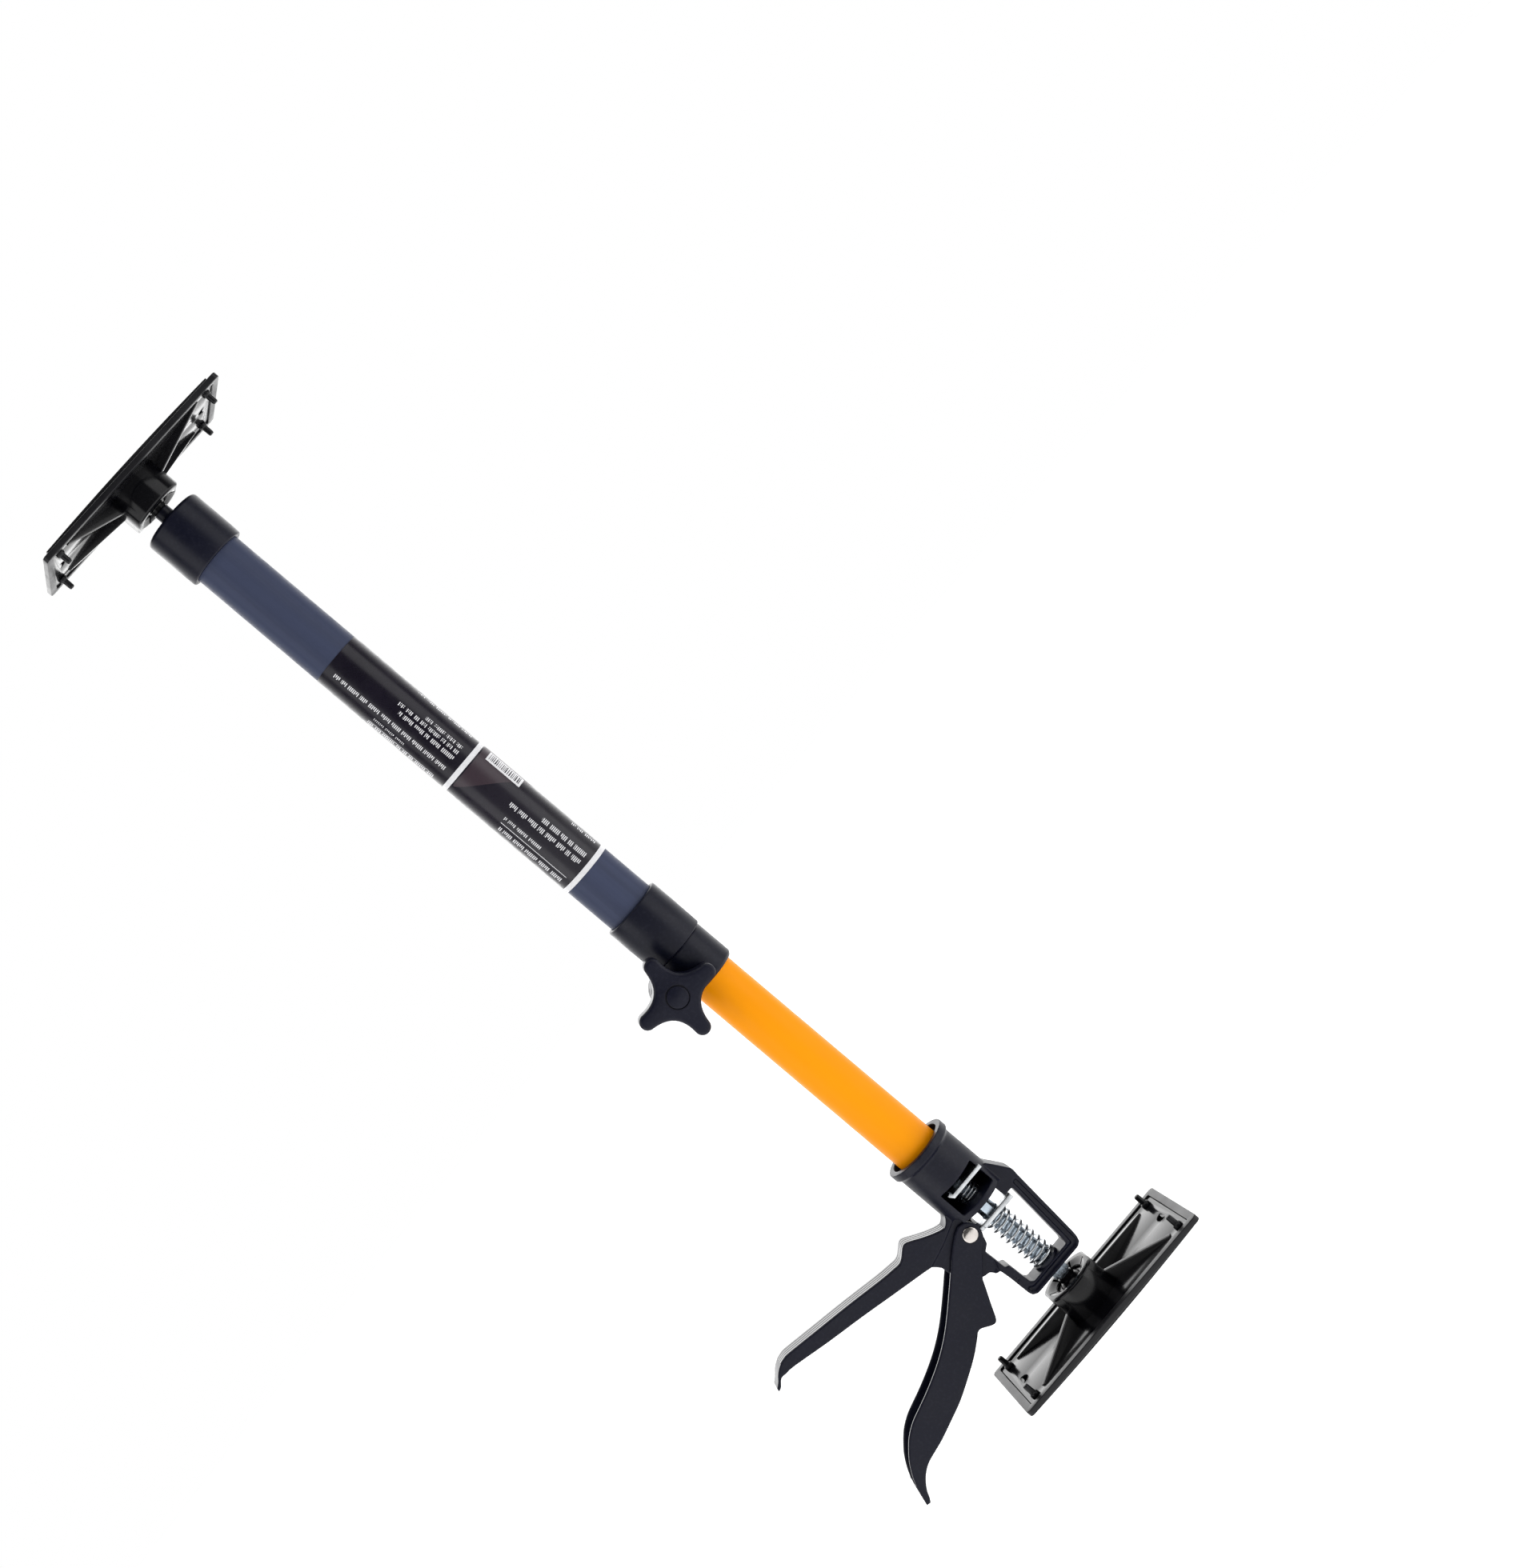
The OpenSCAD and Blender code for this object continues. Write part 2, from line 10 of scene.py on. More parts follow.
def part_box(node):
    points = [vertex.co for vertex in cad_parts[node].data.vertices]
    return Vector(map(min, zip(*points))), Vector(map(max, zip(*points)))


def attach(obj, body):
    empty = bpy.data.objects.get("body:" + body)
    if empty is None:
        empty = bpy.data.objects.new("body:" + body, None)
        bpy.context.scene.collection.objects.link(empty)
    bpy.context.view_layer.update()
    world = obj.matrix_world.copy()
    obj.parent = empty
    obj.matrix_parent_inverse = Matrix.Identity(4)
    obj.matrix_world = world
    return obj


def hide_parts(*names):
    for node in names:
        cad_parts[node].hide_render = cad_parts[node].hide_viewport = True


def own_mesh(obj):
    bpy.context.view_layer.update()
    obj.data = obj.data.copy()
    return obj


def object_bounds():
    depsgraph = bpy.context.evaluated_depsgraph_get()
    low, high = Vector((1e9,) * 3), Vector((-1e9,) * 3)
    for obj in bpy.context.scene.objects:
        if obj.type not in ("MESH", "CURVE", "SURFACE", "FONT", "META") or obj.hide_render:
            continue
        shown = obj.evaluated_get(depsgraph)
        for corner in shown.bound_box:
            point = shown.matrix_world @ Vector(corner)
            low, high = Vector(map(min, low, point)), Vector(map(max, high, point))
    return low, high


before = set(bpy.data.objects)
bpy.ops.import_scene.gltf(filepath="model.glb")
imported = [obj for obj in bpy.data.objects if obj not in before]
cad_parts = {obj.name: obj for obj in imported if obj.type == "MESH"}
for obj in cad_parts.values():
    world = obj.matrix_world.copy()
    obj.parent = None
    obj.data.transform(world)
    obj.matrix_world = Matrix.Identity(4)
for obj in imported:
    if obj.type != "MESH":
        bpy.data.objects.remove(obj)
cad_low, cad_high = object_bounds()

MM = 0.001
SCENE = bpy.context.scene
random.seed(7)


def middle(node):
    """Centre of a CAD node's box."""
    low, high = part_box(node)
    return (low + high) / 2


# ---- driving places, read from the frame -----------------------------------------------

head_top = cad_high.z
tube_low, tube_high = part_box("outer_tube")
tube_r = (tube_high.x - tube_low.x) / 2
rod_low, rod_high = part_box("push_rod")
foot_low, foot_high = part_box("foot_rubber")
label_low, label_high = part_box("label_wrap")
sleeve_low, sleeve_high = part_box("collar_sleeve")
cap_low, cap_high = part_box("top_cap")
knob_mid = middle("knob")
pin_mid = middle("trigger_pin")
HEAD_TURN = math.radians(12)
TUBE_WALL = 1.2 * MM
NECK_R = 4.3 * MM
STUD_HOLE = 3.05 * MM
TINY_R = 0.001 * MM  # stands for a point on the axis of a turned piece


# ---- material helpers ------------------------------------------------------------------

def new_material(name, base, rough, metal=0.0):
    """A Principled material and its node tree."""
    mat = bpy.data.materials.new(name)
    mat.use_nodes = True
    tree = mat.node_tree
    shader = tree.nodes["Principled BSDF"]
    shader.inputs["Base Color"].default_value = (*base, 1)
    shader.inputs["Roughness"].default_value = rough
    shader.inputs["Metallic"].default_value = metal
    return mat, tree, shader


def add(tree, kind, **values):
    """A node with its sockets set by name."""
    node = tree.nodes.new(kind)
    for key, value in values.items():
        key = key.replace("_", " ")
        if key in node.inputs:
            node.inputs[key].default_value = value
        else:
            setattr(node, key.replace(" ", "_"), value)
    return node


def noise(tree, scale, detail=4.0, stretch=(1, 1, 1)):
    """Noise in the object's own metres, stretched along an axis where asked."""
    place = add(tree, "ShaderNodeTexCoord")
    size = add(tree, "ShaderNodeMapping")
    size.inputs["Scale"].default_value = stretch
    tree.links.new(place.outputs["Object"], size.inputs["Vector"])
    tex = add(tree, "ShaderNodeTexNoise", Scale=scale, Detail=detail)
    tree.links.new(size.outputs["Vector"], tex.inputs["Vector"])
    return tex.outputs["Fac"]


def spread(tree, value, low, high, from_low=0.3, from_high=0.7):
    """Maps a noise value to a working range."""
    ramp = add(tree, "ShaderNodeMapRange")
    ramp.inputs["From Min"].default_value = from_low
    ramp.inputs["From Max"].default_value = from_high
    ramp.inputs["To Min"].default_value = low
    ramp.inputs["To Max"].default_value = high
    tree.links.new(value, ramp.inputs["Value"])
    return ramp.outputs["Result"]


def mix_colour(tree, factor, a, b):
    """Mixes a colour, or the output of an earlier mix, with a second colour."""
    mix = add(tree, "ShaderNodeMix", data_type="RGBA")
    tree.links.new(factor, mix.inputs["Factor"])
    mix.inputs["A"].default_value = (*a, 1) if not hasattr(a, "node") else (0, 0, 0, 1)
    if hasattr(a, "node"):
        tree.links.new(a, mix.inputs["A"])
    mix.inputs["B"].default_value = (*b, 1)
    return mix.outputs["Result"]


def bumps(tree, shader, layers):
    """Chains height layers, each (height, strength, distance in metres), into the normal."""
    normal = None
    for height, strength, distance in layers:
        bump = add(tree, "ShaderNodeBump", Strength=strength, Distance=distance)
        tree.links.new(height, bump.inputs["Height"])
        if normal is not None:
            tree.links.new(normal, bump.inputs["Normal"])
        normal = bump.outputs["Normal"]
    tree.links.new(normal, shader.inputs["Normal"])


# ---- materials -------------------------------------------------------------------------

def make_plastic(name, base, rough, grain, gloss_vary=0.08):
    """Moulded plastic: fine spark-eroded grain, handling marks and faintly paler patches."""
    mat, tree, shader = new_material(name, base, rough)
    cloud = noise(tree, 55, 5)
    dust = spread(tree, noise(tree, 620, 3), 0, 1, 0.50, 0.66)
    light = tuple(c * 1.5 + 0.0015 for c in base)
    worn = mix_colour(tree, spread(tree, cloud, 0.0, 0.32), base, light)
    worn = mix_colour(tree, scaled(tree, dust, 0.13), worn, tuple(c * 2 + 0.020 for c in base))
    tree.links.new(worn, shader.inputs["Base Color"])
    tree.links.new(spread(tree, cloud, rough - gloss_vary, rough + gloss_vary),
                   shader.inputs["Roughness"])
    scratch = noise(tree, 90, 2, (1, 14, 3))
    bumps(tree, shader, [
        (noise(tree, 2600, 2), grain, 0.00006),
        (scratch, 0.06, 0.0002),
        (noise(tree, 38, 2), 0.05, 0.0012),
    ])
    shader.inputs["Specular IOR Level"].default_value = 0.21
    return mat


def scaled(tree, value, k):
    """A value times a constant."""
    node = add(tree, "ShaderNodeMath", operation="MULTIPLY")
    tree.links.new(value, node.inputs[0])
    node.inputs[1].default_value = k
    return node.outputs[0]


def make_rubber():
    """Soft matt rubber for the pads' shoes and plug tails."""
    mat, tree, shader = new_material("pad_rubber", (0.006, 0.006, 0.008), 0.4)
    cloud = noise(tree, 60, 5)
    tree.links.new(mix_colour(tree, spread(tree, cloud, 0, 0.5), (0.005, 0.005, 0.0065),
                              (0.011, 0.011, 0.013)), shader.inputs["Base Color"])
    tree.links.new(spread(tree, cloud, 0.28, 0.42), shader.inputs["Roughness"])
    bumps(tree, shader, [(noise(tree, 1500, 3), 0.16, 0.00008), (noise(tree, 70, 2), 0.06, 0.0008)])
    shader.inputs["Specular IOR Level"].default_value = 0.28
    return mat


def make_gloss_black():
    """Smooth glossy moulding with slight sink marks and dust."""
    mat, tree, shader = new_material("gloss_black", (0.0025, 0.0025, 0.0035), 0.2)
    cloud = noise(tree, 45, 4)
    dust = spread(tree, noise(tree, 900, 2), 0, 1, 0.62, 0.75)
    tree.links.new(mix_colour(tree, scaled(tree, dust, 0.10), (0.0025, 0.0025, 0.0035),
                              (0.08, 0.08, 0.09)), shader.inputs["Base Color"])
    tree.links.new(spread(tree, cloud, 0.12, 0.22), shader.inputs["Roughness"])
    bumps(tree, shader, [(noise(tree, 1300, 2), 0.04, 0.00005), (noise(tree, 30, 2), 0.08, 0.0010)])
    shader.inputs["Specular IOR Level"].default_value = 0.26
    return mat


def make_paint(name, base, deep, rough, draw_line_and_sheen_streak):
    """Powder coat on drawn tube: orange peel, lighter streaks along the tube and small colour drift;
    the streaks are faint draw lines, and where strong they are painted reflection streaks.
    """
    mat, tree, shader = new_material(name, base, rough)
    drift = noise(tree, 30, 4, (1, 1, 0.25))
    draw = noise(tree, 700, 2, (1, 1, 0.02))
    tone = mix_colour(tree, spread(tree, drift, 0, 0.6), base, deep)
    # Lighter streaks along the tube: faint draw lines, and at the slate tube's strength painted
    # reflection streaks.
    lines = noise(tree, 260, 3, (1, 1, 0.01))
    tone = mix_colour(tree, spread(tree, lines, 0, draw_line_and_sheen_streak), tone, tuple(c * 1.5 for c in base))
    tree.links.new(tone, shader.inputs["Base Color"])
    tree.links.new(spread(tree, noise(tree, 140, 4), rough - 0.05, rough + 0.08),
                   shader.inputs["Roughness"])
    bumps(tree, shader, [(noise(tree, 900, 2), 0.07, 0.00012), (draw, 0.05, 0.00008)])
    shader.inputs["Specular IOR Level"].default_value = 0.09
    return mat


def make_zinc(name, base, rough, stretch, grain=0.16):
    """Zinc plated steel with fine rolling or turning marks and clouded plating."""
    mat, tree, shader = new_material(name, base, rough, 1.0)
    cloud = noise(tree, 160, 5)
    dark = tuple(c * 0.62 for c in base)
    tree.links.new(mix_colour(tree, spread(tree, cloud, 0, 0.7), base, dark),
                   shader.inputs["Base Color"])
    tree.links.new(spread(tree, noise(tree, 420, 3), rough - 0.07, rough + 0.12),
                   shader.inputs["Roughness"])
    bumps(tree, shader, [(noise(tree, 900, 3, stretch), grain, 0.00008)])
    return mat


def make_label():
    """Glossy printed film with a soft darker field and slight ripples from wrapping."""
    mat, tree, shader = new_material("label_film", (0.005, 0.004, 0.008), 0.28)
    cloud = noise(tree, 40, 3)
    tree.links.new(mix_colour(tree, spread(tree, cloud, 0, 0.7), (0.0042, 0.0030, 0.0080),
                              (0.0090, 0.0065, 0.0150)), shader.inputs["Base Color"])
    tree.links.new(spread(tree, noise(tree, 240, 4), 0.24, 0.36), shader.inputs["Roughness"])
    bumps(tree, shader, [(noise(tree, 26, 2, (1, 1, 0.4)), 0.10, 0.0008),
                         (noise(tree, 1200, 2), 0.03, 0.00004)])
    shader.inputs["Specular IOR Level"].default_value = 0.26
    shader.inputs["Coat Weight"].default_value = 0.15
    shader.inputs["Coat Roughness"].default_value = 0.2
    return mat


def make_ink(name, base):
    """Printed ink with a little screen mottle."""
    mat, tree, shader = new_material(name, base, 0.4)
    fade = spread(tree, noise(tree, 900, 3), 0, 0.35)
    tree.links.new(mix_colour(tree, fade, base, tuple(c * 0.75 for c in base)),
                   shader.inputs["Base Color"])
    bumps(tree, shader, [(noise(tree, 1500, 2), 0.05, 0.00003)])
    return mat


def make_nylon():
    """Natural nylon for the guides and bushes."""
    mat, tree, shader = new_material("nylon", (0.70, 0.68, 0.62), 0.45)
    cloud = noise(tree, 120, 4)
    tree.links.new(mix_colour(tree, spread(tree, cloud, 0, 0.5), (0.72, 0.70, 0.64),
                              (0.58, 0.56, 0.50)), shader.inputs["Base Color"])
    bumps(tree, shader, [(noise(tree, 1500, 2), 0.15, 0.00006)])
    shader.inputs["Subsurface Weight"].default_value = 0.1
    shader.inputs["Subsurface Radius"].default_value = (0.002, 0.0018, 0.0015)
    return mat


BLACK = make_plastic("black_abs", (0.0034, 0.0040, 0.0112), 0.36, 0.16)
KNOB_BLACK = make_plastic("knob_abs", (0.0040, 0.0046, 0.0126), 0.38, 0.24)
POLISHED = make_plastic("worn_abs", (0.0050, 0.0056, 0.0110), 0.20, 0.03, 0.04)
POLISHED.node_tree.nodes["Principled BSDF"].inputs["Specular IOR Level"].default_value = 0.6
GLOSS = make_gloss_black()
RUBBER = make_rubber()
ORANGE = make_paint("orange_tube", (0.97, 0.335, 0.0), (0.90, 0.27, 0.0), 0.34, 0.02)
# The slate tube's strong streak value paints reflection streaks into its colour, on top of faint draw
# lines.
SLATE = make_paint("slate_tube", (0.046, 0.055, 0.096), (0.035, 0.043, 0.078), 0.38, 0.35)
ZINC = make_zinc("zinc_steel", (0.62, 0.64, 0.66), 0.30, (1, 1, 6))
RIVET = make_zinc("rivet_steel", (0.60, 0.56, 0.53), 0.17, (1, 1, 1), 0.03)
WIRE = make_zinc("spring_wire", (0.56, 0.58, 0.60), 0.24, (1, 1, 1))
ROD = make_zinc("rod_steel", (0.50, 0.58, 0.66), 0.26, (1, 1, 0.03))
LABEL = make_label()
WHITE_INK = make_ink("white_ink", (0.78, 0.78, 0.80))
PLUM_INK = make_ink("plum_ink", (0.026, 0.012, 0.021))
NYLON = make_nylon()


# ---- mesh helpers ----------------------------------------------------------------------

def from_bmesh(name, bm):
    """A linked object from a bmesh, which is freed."""
    mesh = bpy.data.meshes.new(name)
    bm.to_mesh(mesh)
    bm.free()
    ob = bpy.data.objects.new(name, mesh)
    SCENE.collection.objects.link(ob)
    return ob


def settle(ob):
    """Applies the object's modifiers and place to its mesh."""
    bpy.context.view_layer.update()
    depsgraph = bpy.context.evaluated_depsgraph_get()
    mesh = bpy.data.meshes.new_from_object(ob.evaluated_get(depsgraph))
    mesh.transform(ob.matrix_world)
    name = ob.name
    bpy.data.objects.remove(ob)
    out = bpy.data.objects.new(name, mesh)
    SCENE.collection.objects.link(out)
    return out


def smooth(ob, degrees=35):
    """Smooth shading with sharp edges kept above an angle."""
    mesh = ob.data
    for face in mesh.polygons:
        face.use_smooth = True
    mesh.set_sharp_from_angle(angle=math.radians(degrees))
    return ob


def place(ob, mat, slot, body, *nodes, degrees=35):
    """Gives a piece its material, the body it rides on and the nodes it stands for; the slot argument
    is not used.
    """
    ob.data.materials.clear()
    ob.data.materials.append(mat)
    for face in ob.data.polygons:
        face.material_index = 0
    smooth(ob, degrees)
    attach(ob, body)
    if nodes:
        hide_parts(*nodes)
    return ob


def rounded_path(points, steps=5):
    """Closed outline from (a, b, radius) corners, each corner an arc."""
    out = []
    count = len(points)
    for i, (x, y, r) in enumerate(points):
        here = Vector((x, y))
        before = Vector(points[i - 1][:2])
        after = Vector(points[(i + 1) % count][:2])
        if r <= 0:
            out.append((x, y))
            continue
        a = (before - here).normalized()
        b = (after - here).normalized()
        angle = a.angle(b)
        trim = min(r / math.tan(angle / 2), (before - here).length * 0.49,
                   (after - here).length * 0.49)
        r = trim * math.tan(angle / 2)
        centre = here + (a + b).normalized() * (r / math.sin(angle / 2))
        start = here + a * trim - centre
        turn = start.angle_signed(here + b * trim - centre)
        for k in range(steps + 1):
            p = centre + Matrix.Rotation(-turn * k / steps, 2) @ start
            out.append((p.x, p.y))
    return out


def lathe(name, profile, segments=96, centre=(0, 0)):
    """Turns a closed (r, z) outline about a line along Z."""
    bm = bmesh.new()
    rings = []
    for k in range(segments):
        a = 2 * math.pi * k / segments
        rings.append([bm.verts.new((centre[0] + r * math.cos(a), centre[1] + r * math.sin(a), z))
                      for r, z in profile])
    count = len(profile)
    for k in range(segments):
        here, after = rings[k], rings[(k + 1) % segments]
        for i in range(count):
            j = (i + 1) % count
            bm.faces.new((here[i], after[i], after[j], here[j]))
    bmesh.ops.remove_doubles(bm, verts=bm.verts, dist=1e-7)
    bmesh.ops.recalc_face_normals(bm, faces=bm.faces)
    return from_bmesh(name, bm)


def turned_y(ob, centre):
    """Lays a piece made about Z along -Y, through centre."""
    ob.data.transform(Matrix.Translation(centre) @ Matrix.Rotation(math.radians(90), 4, "X"))
    return ob


def slab(name, outline, low, high, bevel=0.0004, holes=(), steps=3):
    """An outline in X and Z made solid between two Y values, with rounded rims."""
    curve = bpy.data.curves.new(name, "CURVE")
    curve.dimensions = "2D"
    curve.fill_mode = "BOTH"
    curve.extrude = (high - low) / 2 - bevel
    curve.bevel_depth = bevel
    curve.bevel_resolution = steps
    curve.offset = -bevel
    for loop in (outline, *holes):
        line = curve.splines.new("POLY")
        line.points.add(len(loop) - 1)
        line.use_cyclic_u = True
        for point, (x, z) in zip(line.points, loop):
            point.co = (x, z, 0, 1)
    ob = bpy.data.objects.new(name, curve)
    SCENE.collection.objects.link(ob)
    ob.matrix_world = (Matrix.Translation((0, (low + high) / 2, 0))
                       @ Matrix.Rotation(math.radians(90), 4, "X"))
    ob = settle(ob)
    weld(ob)
    return ob


def weld(ob, gap=1e-6):
    """Merges touching points and turns the faces outwards."""
    bm = bmesh.new()
    bm.from_mesh(ob.data)
    bmesh.ops.remove_doubles(bm, verts=bm.verts, dist=gap)
    bmesh.ops.recalc_face_normals(bm, faces=bm.faces)
    bm.to_mesh(ob.data)
    bm.free()
    return ob


def joined(name, pieces):
    """One object from several."""
    bm = bmesh.new()
    for ob in pieces:
        bm.from_mesh(ob.data)
        bpy.data.objects.remove(ob)
    return from_bmesh(name, bm)


def node_copy(name, node):
    """A free copy of a CAD node's mesh."""
    bm = bmesh.new()
    bm.from_mesh(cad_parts[node].data)
    bmesh.ops.remove_doubles(bm, verts=bm.verts, dist=1e-7)
    return from_bmesh(name, bm)


def moulded(ob, voxel=0.0005, passes=4):
    """Fuses overlapping solids into one skin with softly rounded edges, as a moulding has."""
    mesh = ob.modifiers.new("skin", "REMESH")
    mesh.mode = "VOXEL"
    mesh.voxel_size = voxel
    mesh.adaptivity = 0
    relax = ob.modifiers.new("relax", "SMOOTH")
    relax.factor = 0.5
    relax.iterations = passes
    return settle(ob)


def cut(ob, tool):
    """Takes one solid out of another."""
    step = ob.modifiers.new("cut", "BOOLEAN")
    step.operation = "DIFFERENCE"
    step.solver = "EXACT"
    step.object = tool
    out = settle(ob)
    bpy.data.objects.remove(tool)
    return out


def ring(name, outer, inner, low, high, edge=0.0004, segments=96):
    """A turned ring with rounded corners."""
    return lathe(name, rounded_path([(inner, low, edge), (outer, low, edge),
                                     (outer, high, edge), (inner, high, edge)]), segments)


def coil(name, low, high, turns, radius, wire, closed=1.0, sides=14, per_turn=40):
    """A compression spring whose end turns lie closed and flat."""
    bm = bmesh.new()
    count = int(turns * per_turn)
    heights = []
    level = 0.0
    for k in range(count + 1):
        done = k / per_turn
        near_end = min(done, turns - done)
        level += 1.0 if near_end > closed else 0.32
        heights.append(level)
    low += wire
    high -= wire
    loops = []
    for k, level in enumerate(heights):
        a = 2 * math.pi * k / per_turn
        z = low + (high - low) * (level - heights[0]) / (heights[-1] - heights[0])
        out = Vector((math.cos(a), math.sin(a), 0))
        loops.append([bm.verts.new(out * (radius + wire * math.cos(b))
                                   + Vector((0, 0, z + wire * math.sin(b))))
                      for b in (2 * math.pi * j / sides for j in range(sides))])
    for here, after in zip(loops, loops[1:]):
        for j in range(sides):
            k = (j + 1) % sides
            bm.faces.new((here[j], here[k], after[k], after[j]))
    bm.faces.new(loops[0][::-1])
    bm.faces.new(loops[-1])
    bmesh.ops.recalc_face_normals(bm, faces=bm.faces)
    return from_bmesh(name, bm)


# ---- camera, light and floor -----------------------------------------------------------

CAMERA_DISTANCE = 1.18
CAMERA_HEIGHT = 0.421
ROLL = math.radians(49.8)
FRAME_SPAN = 0.776
SENSOR = 36
FRAMING_SHIFT = (0.1955, -0.0182)
LEFT_POWER = 17
RIGHT_POWER = 17
TOP_POWER = 7
ROOM_FRONT = 0.12
ROOM_BACK = 2.6
FLOOR_GLOW = 0.62
FLOOR_LEVEL = -0.385  # clears the foot when the rod is fully out and the pad is tilted


def make_camera():
    """Level view along +Y, rolled so that the prop leans across the picture."""
    data = bpy.data.cameras.new("camera")
    data.sensor_width = SENSOR
    data.lens = SENSOR * CAMERA_DISTANCE / FRAME_SPAN
    data.shift_x, data.shift_y = FRAMING_SHIFT
    data.clip_start = 0.01
    cam = bpy.data.objects.new("camera", data)
    SCENE.collection.objects.link(cam)
    right = Vector((math.cos(ROLL), 0, -math.sin(ROLL)))
    up = Vector((math.sin(ROLL), 0, math.cos(ROLL)))
    basis = Matrix((right, up, Vector((0, -1, 0)))).transposed().to_4x4()
    cam.matrix_world = Matrix.Translation((0, -CAMERA_DISTANCE, CAMERA_HEIGHT)) @ basis
    SCENE.camera = cam


def soft_light(name, place_at, target, size, power):
    data = bpy.data.lights.new(name, "AREA")
    data.shape = "RECTANGLE"
    data.size, data.size_y = size
    data.energy = power
    ob = bpy.data.objects.new(name, data)
    SCENE.collection.objects.link(ob)
    ob.location = place_at
    ob.rotation_euler = (Vector(target) - Vector(place_at)).to_track_quat("-Z", "Y").to_euler()


def make_light():
    """Two tall soft boxes in front, one above, and a white backdrop behind."""
    aim = (0, 0, 0.3)
    soft_light("left_box", (-1.7, -1.0, 0.8), aim, (1.5, 2.4), LEFT_POWER)
    soft_light("right_box", (1.7, -1.0, 0.5), aim, (1.5, 2.4), RIGHT_POWER)
    soft_light("top_box", (0.1, -0.6, 2.0), aim, (1.6, 1.2), TOP_POWER)
    world = bpy.data.worlds.new("studio")
    SCENE.world = world
    world.use_nodes = True
    tree = world.node_tree
    room = tree.nodes["Background"]
    room.inputs["Color"].default_value = (1, 1, 1, 1)
    ray_way = add(tree, "ShaderNodeTexCoord")
    split = add(tree, "ShaderNodeSeparateXYZ")
    tree.links.new(ray_way.outputs["Generated"], split.inputs["Vector"])
    tree.links.new(spread(tree, split.outputs["Y"], ROOM_FRONT, ROOM_BACK, 0.1, 0.9),
                   room.inputs["Strength"])
    seen = add(tree, "ShaderNodeBackground")
    seen.inputs["Color"].default_value = (1, 1, 1, 1)
    seen.inputs["Strength"].default_value = 1.0
    ray = add(tree, "ShaderNodeLightPath")
    blend = add(tree, "ShaderNodeMixShader")
    tree.links.new(ray.outputs["Is Camera Ray"], blend.inputs[0])
    tree.links.new(room.outputs[0], blend.inputs[1])
    tree.links.new(seen.outputs[0], blend.inputs[2])
    tree.links.new(blend.outputs[0], tree.nodes["World Output"].inputs["Surface"])
    SCENE.view_settings.view_transform = "Standard"


def make_floor():
    """Wide pale paper, low enough that it hides no pose."""
    bm = bmesh.new()
    bmesh.ops.create_circle(bm, cap_ends=True, segments=96, radius=6)
    ob = from_bmesh("floor", bm)
    ob.location.z = FLOOR_LEVEL
    mat, tree, shader = new_material("floor_paper", (0.93, 0.93, 0.93), 0.9)
    tree.links.new(mix_colour(tree, spread(tree, noise(tree, 3, 3), 0, 1),
                              (0.94, 0.94, 0.94), (0.92, 0.92, 0.92)), shader.inputs["Base Color"])
    shader.inputs["Specular IOR Level"].default_value = 0.1
    shader.inputs["Emission Color"].default_value = (1, 1, 1, 1)
    shader.inputs["Emission Strength"].default_value = FLOOR_GLOW
    ob.data.materials.append(mat)


make_camera()
make_light()
make_floor()


# ---- tubes and label -------------------------------------------------------------------

def tube(name, node):
    """A drawn tube with its CAD node's size and softened ends."""
    low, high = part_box(node)
    outer = (high.x - low.x) / 2
    return ring(name, outer, outer - TUBE_WALL, low.z, high.z, 0.35 * MM, 128)


place(tube("outer_tube_skin", "outer_tube"), SLATE, "slate_tube", "upper", "outer_tube")
place(tube("inner_tube_skin", "inner_tube"), ORANGE, "orange_tube", "frame", "inner_tube")
place(ring("label_film_wrap", (label_high.x - label_low.x) / 2, tube_r - 0.02 * MM,
           label_low.z, label_high.z, 0.08 * MM, 128), LABEL, "label_film", "upper", "label_wrap")


def patch(bm, a0, a1, z0, z1, radius, slant=0.0):
    """A thin printed patch on the label, between two angles from the front and two heights."""
    count = max(1, int(abs(a1 - a0) / 3))
    rows = []
    for k in range(count + 1):
        share = k / count
        a = math.radians(a0 + (a1 - a0) * share)
        x, y = radius * math.sin(a), -radius * math.cos(a)
        rows.append((bm.verts.new((x, y, z0 + slant * share)), bm.verts.new((x, y, z1))))
    for here, after in zip(rows, rows[1:]):
        bm.faces.new((here[0], after[0], after[1], here[1]))


